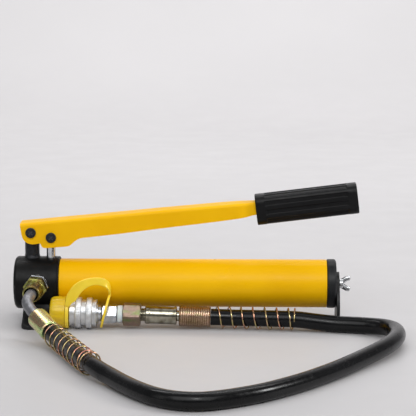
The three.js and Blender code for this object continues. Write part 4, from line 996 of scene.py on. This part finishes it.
def channel_section(half, bottom, ridge, x, ridge_x):
    """The U of the sheet at one station: up the near cheek, over the top and down, then back inside."""
    height = ridge - bottom
    bend = LEVER_BEND
    inner_bend = bend - LEVER_SHEET
    levels = np.linspace(0, height - bend, 8)
    outside = [(-half, bottom + level) for level in levels]
    outside += arc((bend - half, ridge - bend), bend, 180, 90, 8)[1:]
    inner_half = half - LEVER_SHEET
    inner_top = ridge - LEVER_SHEET
    inside = [(-inner_half, bottom + level) for level in levels]
    inside += arc((inner_bend - inner_half, inner_top - inner_bend), inner_bend, 180, 90, 8)[1:]
    outline = outside + [(-y, z) for y, z in outside[::-1]]
    outline += [(-y, z) for y, z in inside] + [(y, z) for y, z in inside[::-1]]
    made = []
    for y, z in outline:
        rise = (z - bottom) / height
        made.append((x + (ridge_x - x) * rise, y, z))
    return np.array(made)


def make_grip():
    """The moulded grip: a rounded bar with smooth ends, and long ribs and grooves between them."""
    low, high = box_of("grip")
    centre = (low + high) / 2
    half_width = (high[1] - low[1]) / 2
    rounded_end = [
        (0, -1.2), (0.25, -0.45), (0.7, -0.1), (1.4, 0), (3, 0), (GRIP_COLLAR - 0.6, 0), (GRIP_COLLAR, 0.02),
    ]
    sinking = list(zip(GRIP_COLLAR + np.linspace(0, 2.4, 5), (0.0, 0.15, 0.5, 0.85, 1.0)))
    rising = [(GRIP_LENGTH - along, depth) for along, depth in sinking[::-1]]
    plan = [(along, inset, 0.0) for along, inset in rounded_end]
    plan += [(along, 0.0, depth) for along, depth in [*sinking, (GRIP_LENGTH / 2, 1.0), *rising]]
    plan += [(GRIP_LENGTH - along, inset, 0.0) for along, inset in rounded_end[::-1]]
    rows = [grip_section(along, inset, depth, half_width) for along, inset, depth in plan]
    tilt = Matrix.Rotation(-math.radians(GRIP_TILT), 4, "Y")
    start = Matrix.Translation(Vector(centre)) @ tilt @ Matrix.Translation((-GRIP_LENGTH / 2, 0, 0))
    grip = mesh_piece("grip_moulding", *ringed(rows), GRIP_PLASTIC, start, 50)
    across, up = POCKET_HALF
    pocket = extruded([(-across, -up), (across, -up), (across, up), (-across, up)], POCKET_LENGTH)
    socket = mesh_piece("cutter", *pocket, None, start @ Matrix.Translation(POCKET_PLACE))
    show(combine(grip, [socket]), "lever", "grip_plastic", "grip")


def grip_section(along, inset, depth, half_width):
    """One section of the grip. depth is how far the grooves are sunk here, from 0 to 1."""
    core_y, core_z = half_width - GRIP_CORNER, GRIP_HEIGHT / 2 - GRIP_CORNER
    girth = perimeter_points(core_y, core_z, GRIP_CORNER + inset, GRIP_SIDES)
    length = sum(math.dist(a[:2], b[:2]) for a, b in zip(girth, girth[1:] + girth[:1]))
    pitch = length / round(length / RIB_PITCH)
    travelled = 0.0
    points = []
    for i, (y, z, ny, nz) in enumerate(girth):
        wave = 0.5 + 0.5 * math.cos(2 * math.pi * travelled / pitch)
        sunk = RIB_DEPTH * depth * min(1.0, max(0.0, (RIB_TOP - wave) / RIB_FLANK))
        points.append((along, y - ny * sunk, z - nz * sunk))
        travelled += math.dist((y, z), girth[(i + 1) % GRIP_SIDES][:2])
    return np.array(points)


def perimeter_points(core_y, core_z, radius, count):
    """Evenly spaced points of a rounded rectangle, each with its outward direction."""
    quarter = math.pi / 2 * radius
    straights = (2 * core_z, 2 * core_y, 2 * core_z, 2 * core_y)
    corners = ((1, 1), (-1, 1), (-1, -1), (1, -1))
    total = sum(straights) + 4 * quarter
    made = []
    for i in range(count):
        left = total * i / count
        for side in range(4):
            sy, sz = corners[side]
            heading = side * math.pi / 2
            if left < straights[side]:
                share = left
                ny, nz = math.cos(heading), math.sin(heading)
                before = corners[side - 1]
                y = before[0] * core_y + ny * radius - nz * share
                z = before[1] * core_z + nz * radius + ny * share
                break
            left -= straights[side]
            if left < quarter:
                angle = heading + left / radius
                ny, nz = math.cos(angle), math.sin(angle)
                y, z = sy * core_y + ny * radius, sz * core_z + nz * radius
                break
            left -= quarter
        made.append((y, z, ny, nz))
    return made


# ------------------------------------------------------------------ reservoir, rear cap and bracket


TANK_WALL = 2
WING_THREAD = 4.0
WING_HOLE = WING_THREAD + GAP
BRACKET_TOP_RADIUS = 12.5
BRACKET_SHOULDER = 15.0  # height where the bracket's sides draw in


def make_reservoir():
    radius = (tank_high[2] - tank_low[2]) / 2
    bore = radius - TANK_WALL
    tube = ring_piece("reservoir_tube", bore, radius, tank_low[0], tank_high[0], TANK_PAINT, PUMP, 0.5, FINE)
    show(tube, "root", "yellow_paint", "tank_tube")
    low, high = box_of("end_cap")
    radius = (high[1] - low[1]) / 2
    start, end = tank_high[0] + GAP, high[0]
    spigot = bore - GAP
    profile = [
        (WING_HOLE, low[0] + 8), (spigot - 6, low[0] + 8), (spigot - 6, low[0]),
        (spigot, low[0]), (spigot, start),
        (radius - 0.8, start), (radius, start + 0.8), (radius, end - 1.8), (radius - 1.8, end),
        (15, end), (14.6, end - 0.4), (WING_HOLE, end - 0.4),
    ]
    cap = turned_piece("rear_cap", profile, CAP_BLACK, PUMP, 0.8, FINE, wrap=True)
    show(cap, "root", "black_paint", "end_cap")


def make_bracket():
    low, high = box_of("rear_bracket")
    edge = high[1]
    middle = (low[0] + high[0]) / 2

    def flank(sign):
        start, end = np.array([edge, BRACKET_SHOULDER]), np.array([BRACKET_TOP_RADIUS, AXIS_HEIGHT + 1])
        pull = np.array([edge - 1, AXIS_HEIGHT - 8])
        steps = np.linspace(0, 1, 14)[:, None]
        curve = (1 - steps) ** 2 * start + 2 * steps * (1 - steps) * pull + steps**2 * end
        return [(sign * y, z) for y, z in curve]

    outline = [(-edge, low[2]), (edge, low[2]), *flank(1)]
    outline += arc((0, AXIS_HEIGHT), BRACKET_TOP_RADIUS, 6, 174, 24)
    outline += flank(-1)[::-1]
    place = Matrix.Translation((middle, 0, 0))
    sheet = mesh_piece("bracket_sheet", *extruded(outline, high[0] - low[0]), SHEET_BLACK, place)
    combine(sheet, [cutter(WING_HOLE, -5, 5, Matrix.Translation((middle, 0, AXIS_HEIGHT)))])
    show(soften(sheet, 0.5), "root", "black_paint", "rear_bracket")


WING_HALF = 3.3  # half a wing's breadth at the hub, before its section's factors
WING_TAPER = 0.4  # what it loses by the tip
WING_SECTION = np.array([0.9, 0.6, 0.9])  # a wing is flatter across the pump than along and up
WING_ROUND_START = 0.86  # share of a wing's length from which its tip is rounded
WING_TIP = 0.15


def make_wing_screw():
    """The wing screw: a turned hub and thread, and two cast wings that taper a little."""
    low, high = box_of("wing_screw")
    bracket_end = box_of("rear_bracket")[1][0]
    hub = bracket_end + GAP
    hub_radius, hub_length = 5.0, 4.6
    profile = [
        (0, low[0]), (WING_THREAD, low[0]), (WING_THREAD, hub), (hub_radius, hub),
        (hub_radius, hub + hub_length - 1), (hub_radius - 1.4, hub + hub_length), (0, hub + hub_length),
    ]
    screw = turned_piece("wing_screw_cast", profile, NICKEL, PUMP, 0.5)
    reach = high[2] - AXIS_HEIGHT
    wings = []
    for sign in (1, -1):
        spine = smooth_line([(hub + 1.2, 0, sign * 1.6), (hub + 4.4, 0, sign * reach * 0.38),
                             (hub + 7.8, 0, sign * reach * 0.6), (hub + 11.6, 0, sign * (reach - 2.8))], 10)
        rows = []
        last = len(spine) - 1
        for i, row in enumerate(sweep(spine, 1.0, 28)):
            share = i / last
            centre = spine[i]
            wide = WING_HALF - WING_TAPER * share
            past = max(0.0, (share - WING_ROUND_START) / (1 - WING_ROUND_START))
            tip = math.sqrt(max(0.0, 1 - past**2)) or WING_TIP
            rows.append(centre + (row - centre) * tip * wide * WING_SECTION)
        wings.append(mesh_piece("wing", *ringed(rows), None, PUMP))
    screw = combine(screw, wings, "UNION")
    repaint(screw, NICKEL)
    show(screw, "wing_screw", "chrome", "wing_screw")


# ------------------------------------------------------------------ fittings at the head


FITTING_HEX = 22  # across the flats of the port adapter, the swivel nut and the hose adapter
PORT_HEX_LENGTH = 3.9
PORT_THREAD = 5.6
THREAD_CHAMFER = 0.6
STEP = 0.05  # between a hexagon's end and the round row beside it
PIPE_RADIUS = 5.8
PIPE_IN_NUT = 7  # the pipe's straight stretch inside the swivel nut
PIPE_LEAVES = 22  # handles of the pipe's bend, at the nut and at the ferrule
PIPE_ARRIVES = 32


def make_port_fittings():
    washer = Turned("port_washer", PORT_TOWARDS)
    bore = washer.radius * 0.54
    made = ring_piece("port_washer_bonded", bore, washer.radius, 0, washer.length, STEEL, washer.matrix, 0.3)
    show(made, "root", "steel", "port_washer")
    hex_start = washer.length + GAP
    hex_end = hex_start + PORT_HEX_LENGTH
    into_head, into_nut = -12, hex_end + 8.6
    thread, narrow = PORT_THREAD, PORT_THREAD - THREAD_CHAMFER
    rows = turned_rows([(0, into_head), (narrow, into_head), (thread, into_head + THREAD_CHAMFER),
                        (thread, hex_start - STEP)])
    rows += hex_rows(FITTING_HEX, hex_start, hex_end)
    rows += turned_rows([(thread, hex_end + STEP), (thread, into_nut - THREAD_CHAMFER), (narrow, into_nut),
                         (0, into_nut)])
    made = mesh_piece("port_adapter_hex", *ringed(rows), ZINC, washer.matrix, 30)
    show(made, "root", "zinc_silver", "port_adapter")
    make_swivel_nut(washer)


def make_swivel_nut(washer):
    """The swivel nut: a hexagon, a round nose with a dark mouth, and a bore that narrows inside it."""
    nut = Turned("swivel_nut", PORT_TOWARDS)
    start = (nut.start - washer.start) @ washer.direction
    hexagon = 9.0
    barrel = FITTING_HEX / 2 - 1.0
    end = start + nut.length
    rows = turned_rows([(6.4, start + 0.6), (7.2, start)])
    rows += hex_rows(FITTING_HEX, start, start + hexagon)
    nose = [(barrel - 0.1, start + hexagon + 0.2), (barrel - 0.5, start + hexagon + 0.8),
            (barrel - 0.5, end - 1.4), (barrel - 1.3, end), (7.6, end), (7.2, end - 0.4), (6.4, end - 9),
            (6.1, start + 2)]
    rows += turned_rows(rounded(nose, 0.4))
    made = mesh_piece("swivel_nut_plated", *ringed(rows, True), NUT_ZINC, washer.matrix, 30)
    show(made, "root", "zinc_yellow", "swivel_nut")


def make_pipe():
    """The bent steel pipe from the swivel nut into the near ferrule."""
    nut, washer = Turned("swivel_nut", PORT_TOWARDS), Turned("port_washer", PORT_TOWARDS)
    ferrule = Turned("near_ferrule", HOSE_TOWARDS)
    straight_end = nut.end - washer.direction * PIPE_IN_NUT
    leave = nut.end + washer.direction * PIPE_LEAVES
    arrive = ferrule.start - ferrule.direction * PIPE_ARRIVES
    bend = [
        (1 - t) ** 3 * straight_end + 3 * t * (1 - t) ** 2 * leave
        + 3 * t * t * (1 - t) * arrive + t**3 * ferrule.start
        for t in np.linspace(0, 1, 49)
    ]
    inside = ferrule.start + ferrule.direction * (ferrule.length - 3)
    path = [nut.start + washer.direction * 6.5, *bend, inside]
    rows = sweep(path, PIPE_RADIUS, 48)
    pipe = mesh_piece("bent_pipe_steel", *ringed(rows), PIPE, Matrix.Identity(4))
    show(pipe, "root", "pipe_grey", "bent_pipe")
    outer, bore, end = ferrule.radius, PIPE_RADIUS + GAP, ferrule.length
    profile = [(bore, 0.6), (bore + 0.8, 0), (outer - 2.2, 0), (outer, 2.0), (outer, end - 1.6),
               (outer - 0.9, end), (bore + 1.6, end), (bore, end - 1)]
    made = turned_piece("near_ferrule_sleeve", profile, SLEEVE_ZINC_AND_REFLECTIONS, ferrule.matrix, 0.6, FINE, wrap=True)
    show(made, "root", "zinc_yellow", "near_ferrule")


# ------------------------------------------------------------------ coupler, dust cap and strap


COLLAR_BASE = 14.3  # radius of the collar between its rings
COLLAR_BORE = 11.2
KNURL_STARTS = (6.2, 17.4)  # where the two rings start along the collar
KNURL_LENGTH = 6.2
KNURL_TEETH = 64
KNURL_DEPTH = 0.012  # as a share of the radius
KNURL_SIDES = 320
COUPLER_HEX = 18
COUPLER_HEX_LENGTH = 15.8


def make_collar():
    """The sliding collar: two knurled rings with grooves beside them."""
    collar = Turned("coupler_collar", COUPLER_TOWARDS)
    ring, base, bore, end = collar.radius, COLLAR_BASE, COLLAR_BORE, collar.length

    def plain(profile, corner):
        return [circle_row(r, along, KNURL_SIDES) for r, along in rounded(profile, corner)]

    def knurled(angles):
        return 1 - KNURL_DEPTH * (0.5 + 0.5 * np.cos(KNURL_TEETH * angles))

    rows = plain([(bore, 1), (base, 0), (base, 2)], 0.5)
    crown = [(base + 0.8, 0), (ring - 0.55, 0.12), (ring - 0.12, 0.45), (ring, 0.9)]
    for start in KNURL_STARTS:
        stop = start + KNURL_LENGTH
        rows += plain([(base - 0.5, start - 2.2), (base - 0.5, start - 0.2), (base + 0.2, start)], 0.4)
        outline = [(r, start + along) for r, along in crown] + [(r, stop - along) for r, along in crown[::-1]]
        for r, along in outline:
            rows.append(circle_row(r, along, KNURL_SIDES, knurled if r > ring - 0.6 else None))
        rows += plain([(base + 0.2, stop), (base - 0.3, stop + 0.3), (base - 0.3, stop + 2.2)], 0.3)
    rows += plain([(base, end - 1.6), (base, end), (bore, end)], 0.6)
    made = mesh_piece("collar_knurled", *ringed(rows, True), ZINC_MATT, collar.matrix, 40)
    show(made, "coupler_collar", "zinc_silver", "coupler_collar")


def make_coupler_body():
    """The coupler's socket, round neck and hexagon."""
    collar, body = Turned("coupler_collar", COUPLER_TOWARDS), Turned("coupler_body", COUPLER_TOWARDS)
    start = (body.start - collar.start) @ collar.direction
    end = start + body.length
    nose, barrel, bore, chamber = 9.8, 10.8, 6.5, collar.length - 3
    shoulder, neck = collar.length + 1.5, COUPLER_HEX / 2 - 0.6
    hex_start = end - COUPLER_HEX_LENGTH
    thread, thread_end = 7, hex_start + 3
    rows = turned_rows(rounded([
        (0, chamber), (bore, chamber), (bore, start), (nose, start), (nose, 4), (barrel, 4),
        (barrel, shoulder), (neck, shoulder), (neck, hex_start - 1.2), (neck - 1.0, hex_start),
    ], 0.4))
    rows += hex_rows(COUPLER_HEX, hex_start + STEP, end - 0.4)
    inner_thread = [(thread + 0.4, end - 0.2), (thread, end - 0.9), (thread, thread_end), (0, thread_end)]
    rows += turned_rows(inner_thread)
    made = mesh_piece("coupler_socket", *ringed(rows), ZINC, collar.matrix, 30)
    show(made, "root", "zinc_silver", "coupler_body")


SCALLOPS = 14
SCALLOP_DEPTH = 0.022  # as a share of the radius


def make_dust_cap():
    """The moulded cap: a domed end, shallow finger scallops, and a neck that the strap's eye turns on."""
    cap = Turned("dust_cap", COUPLER_TOWARDS)
    outer, end, body, wall = cap.radius, cap.length, 16.0, 3.0
    neck, bore = 13.0, 10.1
    outline = [
        (0, 0.5), (outer - 6.5, 0.5), (outer - 5.4, 0), (outer - 3.2, 0.15), (outer - 1.5, 1.3),
        (outer - 0.7, 3.2), (outer - 0.1, 6), (outer - 0.1, body - 2.2), (outer, body - 1.4), (outer, body),
        (neck, body), (neck, end), (bore, end), (bore, wall), (0, wall),
    ]
    rows = []
    for radius, along in rounded(outline, 0.9, 5):
        depth = SCALLOP_DEPTH if radius > outer - 2.4 and along < body - 1.8 else 0.0
        depth *= min(1.0, max(0.0, (along - 0.4) / 3.0))

        def scalloped(angles, d=depth):
            return 1 - d * (0.5 + 0.5 * np.cos(SCALLOPS * angles)) ** 2

        rows.append(circle_row(max(radius, POINT), along, 224, scalloped))
    made = mesh_piece("dust_cap_moulding", *ringed(rows), CAP_PLASTIC, cap.matrix, 50)
    show(made, "dust_cap", "cap_plastic", "dust_cap")


STRAP_THICKNESS = 2.0
LOOSE_LEAN = 13.0  # degrees that the strap's loose eye leans
EYE_LENGTH = 3.6
EYE_START = 16.3  # from the cap's closed end
EYE_RADIUS = 17.0
EYE_BORE = 13.3
LOOSE_RADIUS = 18.5
LOOSE_BORE = 13.4
STRAP_SIDES = 96


def make_strap():
    """The strap: an eye on the cap's neck, a band that twists as it arches over, and a loose eye."""
    cap, collar = Turned("dust_cap", COUPLER_TOWARDS), Turned("coupler_collar", COUPLER_TOWARDS)
    body = Turned("coupler_body", COUPLER_TOWARDS)
    hexagon_start = (body.end - cap.start) @ cap.direction - COUPLER_HEX_LENGTH
    eye = ring_piece("strap_band", EYE_BORE, EYE_RADIUS, EYE_START, EYE_START + EYE_LENGTH, STRAP_PLASTIC_PAINTED_HIGHLIGHT,
                     cap.matrix, 0.7, STRAP_SIDES)
    lean = math.radians(LOOSE_LEAN)
    middle = np.array([hexagon_start + 3.2, 0, 3.0])
    top = middle + np.array([math.sin(lean), 0, math.cos(lean)]) * (LOOSE_RADIUS - 1.6)
    half = (STRAP_THICKNESS + 0.4) / 2
    tilt = Matrix.Translation(Vector(middle)) @ Matrix.Rotation(lean, 4, "Y")
    loose = ring_piece("loose_eye", LOOSE_BORE, LOOSE_RADIUS, -half, half, None, cap.matrix @ tilt, 0.6,
                       STRAP_SIDES)
    rows = band_rows(EYE_START + EYE_LENGTH / 2, EYE_RADIUS, collar.radius, top)
    band = mesh_piece("band", *ringed(rows), None, cap.matrix)
    strap = combine(eye, [band, loose], "UNION")
    repaint(strap, STRAP_PLASTIC_PAINTED_HIGHLIGHT)
    show(strap, "root", "cap_plastic", "cap_strap")


def band_rows(eye, outer, collar_radius, top):
    """Sections of the strap's band, flat towards -Y at the cap and turned edge-on at the loose eye."""
    side = 3.6 - outer - STRAP_THICKNESS / 2
    peak = collar_radius + 20
    line = Line(smooth_line([
        (eye, side, 10), (eye + 4.6, side - 0.8, 18.5), (eye + 12, side - 0.6, peak - 6.8),
        (eye + 21.5, side + 0.8, peak - 1.2), (eye + 32, side + 4, peak),
        (top[0] - 2.4, side + 8.5, peak - 4),
        (top[0] + 0.8, -2, top[2] + 4.6), tuple(top)], 24))
    rows = []
    for share in np.linspace(0, 1, 90):
        distance = share * line.length
        along = line.direction(np.clip(distance, 0.6, line.length - 0.6))
        turn = smoothstep(share, 0.55, 0.97)
        normal = (1 - turn) * np.array([0, -1, 0]) + turn * np.array([1, 0, 0.2])
        across = np.cross(along, normal)
        across /= np.linalg.norm(across)
        through = np.cross(across, along)
        half = 2.8 + 2.8 * smoothstep(share, 0.02, 0.16) - 1.6 * smoothstep(share, 0.25, 0.6)
        section = rounded_bar(half, STRAP_THICKNESS / 2)
        rows.append(np.array([line.at(distance) + a * across + b * through for a, b in section]))
    return rows


def smoothstep(value, start, end):
    share = np.clip((value - start) / (end - start), 0, 1)
    return share * share * (3 - 2 * share)


def rounded_bar(half, thin):
    """A flat section with round edges, thicker along its two borders than in the middle."""
    soft = thin * 0.8
    dip, dip_half = thin * 0.9, half * 0.55
    outline = arc((half - soft, thin - soft), soft, 0, 90, 4) + [(dip_half, dip), (-dip_half, dip)]
    outline += arc((soft - half, thin - soft), soft, 90, 180, 4)
    outline += arc((soft - half, soft - thin), soft, 180, 270, 4)
    outline += [(-dip_half, -dip), (dip_half, -dip)]
    return outline + arc((half - soft, soft - thin), soft, 270, 360, 4)


# ------------------------------------------------------------------ fittings at the hose's far end


def make_hose_end():
    tape, tail = Turned("thread_tape", COUPLER_TOWARDS), Turned("hose_tail", COUPLER_TOWARDS)
    adapter, ferrule = Turned("hose_adapter", COUPLER_TOWARDS), Turned("far_ferrule", COUPLER_TOWARDS)
    pieces = [make_tape(tape), make_adapter(adapter, tape), make_tail(tail, adapter, ferrule)]
    return [*pieces, make_far_ferrule(ferrule)]


def make_tape(tape):
    """Seal tape wound on the thread: uneven layers, a little thinner at both ends."""
    rng = np.random.default_rng(7)
    sides, steps = 96, 14
    end_drop, layer_drop = 0.5, 0.1
    phases = rng.uniform(0, 2 * math.pi, (steps + 1, 3))
    bore = tape.radius - 2.2
    rows = [circle_row(bore, 0, sides)]
    for i in range(steps + 1):
        along = tape.length * i / steps
        end = min(i, steps - i)
        radius = tape.radius - (end_drop if end == 0 else 0.0) - layer_drop * (i % 3)

        def uneven(angles, p=phases[i]):
            return 1 + 0.006 * np.sin(2 * angles + p[0]) + 0.004 * np.sin(7 * angles + p[1])

        rows.append(circle_row(radius, along, sides, uneven))
    rows.append(circle_row(bore, tape.length, sides))
    made = mesh_piece("seal_tape", *ringed(rows, True), TAPE, tape.matrix)
    return show(made, "root", "ptfe", "thread_tape")


def make_adapter(adapter, tape):
    """The hexagon adapter, with its thread running forward under the tape."""
    hexagon, thread = 18.6, 6.7
    end = adapter.length
    start = end - hexagon
    rows = turned_rows([(0, 0.6), (thread - 1, 0.6), (thread, 1.6), (thread, start - STEP)])
    rows += hex_rows(FITTING_HEX, start, end - STEP)
    rows += turned_rows([(7.3, end - 0.6), (7.3, start + 6.4), (0, start + 6.4)])
    made = mesh_piece("adapter_hex", *ringed(rows), HEX_ZINC, adapter.matrix, 30)
    return show(made, "root", "zinc_yellow", "hose_adapter")


def make_tail(tail, adapter, ferrule):
    """The polished hose tail: a threaded neck out of the adapter, a round body, and the barb."""
    adapter_end = (adapter.end - tail.start) @ tail.direction
    ferrule_start = (ferrule.start - tail.start) @ tail.direction
    body_start, body_end = adapter_end + 4.5, ferrule_start - 2.2
    radius, barb = tail.radius, 5.6
    neck = 7.0
    profile = [(0, 0), (neck - 0.8, 0), (neck, 0.8), (neck, adapter_end)]
    threads = 3
    for i in range(threads):
        at = adapter_end + 0.3 + i * 1.2
        profile += [(neck, at), (neck - 0.6, at + 0.45), (neck - 0.6, at + 0.6), (neck, at + 1.05)]
    profile += [
        (neck, body_start), (radius - 1.0, body_start),
        (radius, body_start + 1.0), (radius, body_start + 4.4),
        (radius - 0.35, body_start + 4.9), (radius - 0.35, body_end - 3.2), (radius, body_end - 2.7),
        (radius, body_end - 0.8), (radius - 0.8, body_end),
        (barb, body_end), (barb, tail.length), (0, tail.length),
    ]
    made = turned_piece("tail_polished", profile, POLISHED, tail.matrix, 0.35, FINE)
    return show(made, "root", "zinc_silver", "hose_tail")


def make_far_ferrule(ferrule):
    """The crimped ferrule, with fine ribs between two plain ends."""
    outer, bore, end = ferrule.radius, 5.9, ferrule.length
    ribs, plain = 13, 1.4
    pitch = (end - 2 * plain) / ribs
    profile = [(bore, 0.5), (outer - 1.2, 0), (outer - 0.2, 0.6)]
    for i in range(ribs):
        at = plain + i * pitch
        profile += [(outer - 0.95, at), (outer - 0.15, at + pitch * 0.28), (outer, at + pitch * 0.5),
                    (outer - 0.15, at + pitch * 0.72)]
    profile += [(outer - 0.95, end - plain), (outer - 0.2, end - 0.6), (outer - 1.2, end), (bore, end - 0.5)]
    rows = turned_rows(profile, FINE)
    made = mesh_piece("ribbed_ferrule", *ringed(rows, True), RIB_ZINC, ferrule.matrix, 50)
    return show(made, "root", "zinc_yellow", "far_ferrule")


# ------------------------------------------------------------------ the hose and its spring guards


def hose_line():
    """The hose's centreline in millimetres, from the near ferrule to the far one."""
    near, far = Turned("near_ferrule", HOSE_TOWARDS), Turned("far_ferrule", COUPLER_TOWARDS)
    points = [np.array(p) / MM for p in HOSE_ROUTE]
    points[0] = points[0] + near.direction * GAP
    points += [far.end + far.direction * distance for distance in HOSE_LEAD_IN]
    return Line(smooth_line(points, 14))


def guard(name, node, line, start, end, turns, closed_at_end):
    """A spring guard: round wire wound about the hose, with the turn furthest from its ferrule closed up."""
    steps = int(turns * GUARD_STEPS)
    open_pitch = 1 / (turns - 1 + CLOSED_PITCH)
    radius = (GUARD_DIAMETER - GUARD_WIRE) / 2
    path = []
    for i in range(steps + 1):
        share = i / steps
        turn = turns * (share if closed_at_end else 1 - share)
        wound = open_pitch * (min(turn, turns - 1) + CLOSED_PITCH * max(0.0, turn - turns + 1))
        distance = start + (end - start) * (wound if closed_at_end else 1 - wound)
        along = line.direction(distance)
        side = np.cross((0, 0, 1.0), along)
        side /= np.linalg.norm(side)
        up = np.cross(along, side)
        angle = 2 * math.pi * turns * share
        path.append(line.at(distance) + radius * (math.cos(angle) * side + math.sin(angle) * up))
    rows = sweep(path, GUARD_WIRE / 2, 12)
    made = mesh_piece(name, *ringed(rows), WIRE_ZINC, Matrix.Identity(4))
    return show(made, "root", "spring_zinc", node)


def make_hose(end_pieces):
    line = hose_line()
    path = line.at(np.linspace(0, line.length, HOSE_STATIONS))
    rows = sweep(path, HOSE_DIAMETER / 2, 40)
    hose = mesh_piece("hose_tube", *ringed(rows), HOSE_RUBBER, Matrix.Identity(4))
    show(hose, "root", "hose_rubber", "hose")
    near = guard("near_guard_wire", "near_spring_guard", line, *NEAR_GUARD_SPAN, NEAR_GUARD_TURNS,
                 closed_at_end=True)
    far_from, far_to = FAR_GUARD_SPAN
    far = guard("far_guard_wire", "far_spring_guard", line, line.length - far_to, line.length - far_from,
                FAR_GUARD_TURNS, closed_at_end=False)


# ------------------------------------------------------------------ inner pieces that stay as CAD made them

INNER_FINISH = {
    "head_oring": SEAL_RUBBER,
    "cap_oring": SEAL_RUBBER,
    "plunger_seal": SEAL_RUBBER,
    "oil_bladder": BLADDER_RUBBER,
    "bladder_clamp": STEEL,
    "delivery_ball": STEEL,
    "suction_ball": STEEL,
    "relief_ball": STEEL,
    "delivery_spring": SPRING_STEEL,
    "relief_spring": SPRING_STEEL,
    "poppet_spring": SPRING_STEEL,
    "suction_seat": BRASS,
    "suction_filter": BRASS,
    "suction_tube": TAPE,
    "release_spindle": STEEL,
    "coupler_poppet": STEEL,
}


def finish_inner_pieces():
    for name, material in INNER_FINISH.items():
        repaint(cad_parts[name], material)
    spring = Turned("poppet_spring", COUPLER_TOWARDS)
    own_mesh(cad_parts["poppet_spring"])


# ------------------------------------------------------------------ studio

FLOOR_DEPTH = 1.5  # from the pump to where the backdrop rises
BACKDROP_BEND = 1.2
FLOOR_WIDTH = 9.0


def make_backdrop():
    """A pale floor that bends up into the backdrop."""
    front = -4.0
    profile = [(front, 0.0), (FLOOR_DEPTH, 0.0)]
    for angle in np.radians(np.linspace(4, 90, 24)):
        profile.append((FLOOR_DEPTH + BACKDROP_BEND * math.sin(angle), BACKDROP_BEND * (1 - math.cos(angle))))
    profile.append((FLOOR_DEPTH + BACKDROP_BEND, 4.0))
    points = [(side * FLOOR_WIDTH / 2, y, z) for y, z in profile for side in (-1, 1)]
    faces = [(2 * i, 2 * i + 1, 2 * i + 3, 2 * i + 2) for i in range(len(profile) - 1)]
    mesh = bpy.data.meshes.new("backdrop")
    mesh.from_pydata(points, [], faces)
    mesh.shade_smooth()
    mesh.materials.append(floor_finish())
    backdrop = bpy.data.objects.new("backdrop", mesh)
    bpy.context.scene.collection.objects.link(backdrop)


def floor_finish():
    shader = Shader("floor", roughness=0.5)
    shader.color(shader.ramp(shader.noise(400, 2), [(0.3, (190, 188, 189)), (0.7, (193, 191, 192))]))
    shader.roughness(shader.map(shader.noise(60, 3), 0.42, 0.55))
    return shader.material


def soft_light(name, place, target, size, power):
    light = bpy.data.lights.new(name, "AREA")
    light.shape = "RECTANGLE"
    light.size, light.size_y = size
    light.energy = power
    lamp = bpy.data.objects.new(name, light)
    lamp.location = place
    lamp.rotation_euler = (Vector(target) - Vector(place)).to_track_quat("-Z", "Y").to_euler()
    bpy.context.scene.collection.objects.link(lamp)


PUMP_MIDDLE = (0.17, -0.08, 0.05)
PUMP_LIGHTS = [  # name, place, size and watts; all of them are turned towards the pump
    ("key", (0.1, -1.9, 1.75), (3.8, 1.8), 42),
    ("overhead", (0.2, 0.1, 1.5), (2.0, 0.8), 3),
    ("right", (1.9, -0.4, 1.0), (0.4, 0.5), 14),
    ("window", (0.22, -1.7, 1.42), (0.4, 0.3), 4.5),
    ("left", (-1.7, -1.0, 0.9), (0.6, 1.2), 2),
]


def light_studio():
    world = bpy.data.worlds.new("studio")
    world.use_nodes = True
    sky = world.node_tree.nodes["Background"].inputs
    sky["Color"].default_value = (0.9, 0.92, 0.95, 1)
    sky["Strength"].default_value = 0.24
    bpy.context.scene.world = world
    for name, place, size, power in PUMP_LIGHTS:
        soft_light(name, place, PUMP_MIDDLE, size, power)
    soft_light("backdrop_wash", (0.2, 1.0, 2.2), (0.2, 2.6, 0.6), (3.0, 1.0), 68)
    bpy.context.scene.view_settings.view_transform = "Standard"


# ------------------------------------------------------------------ making it all

make_port_fittings()
make_pipe()
make_hose(make_hose_end())
make_collar()
make_coupler_body()
make_dust_cap()
make_strap()
make_head()
make_foot()
make_plugs()
make_release_valve()
make_post()
make_plunger()
make_pins()
make_lever()
make_grip()
make_reservoir()
make_bracket()
make_wing_screw()
finish_inner_pieces()
make_backdrop()
light_studio()
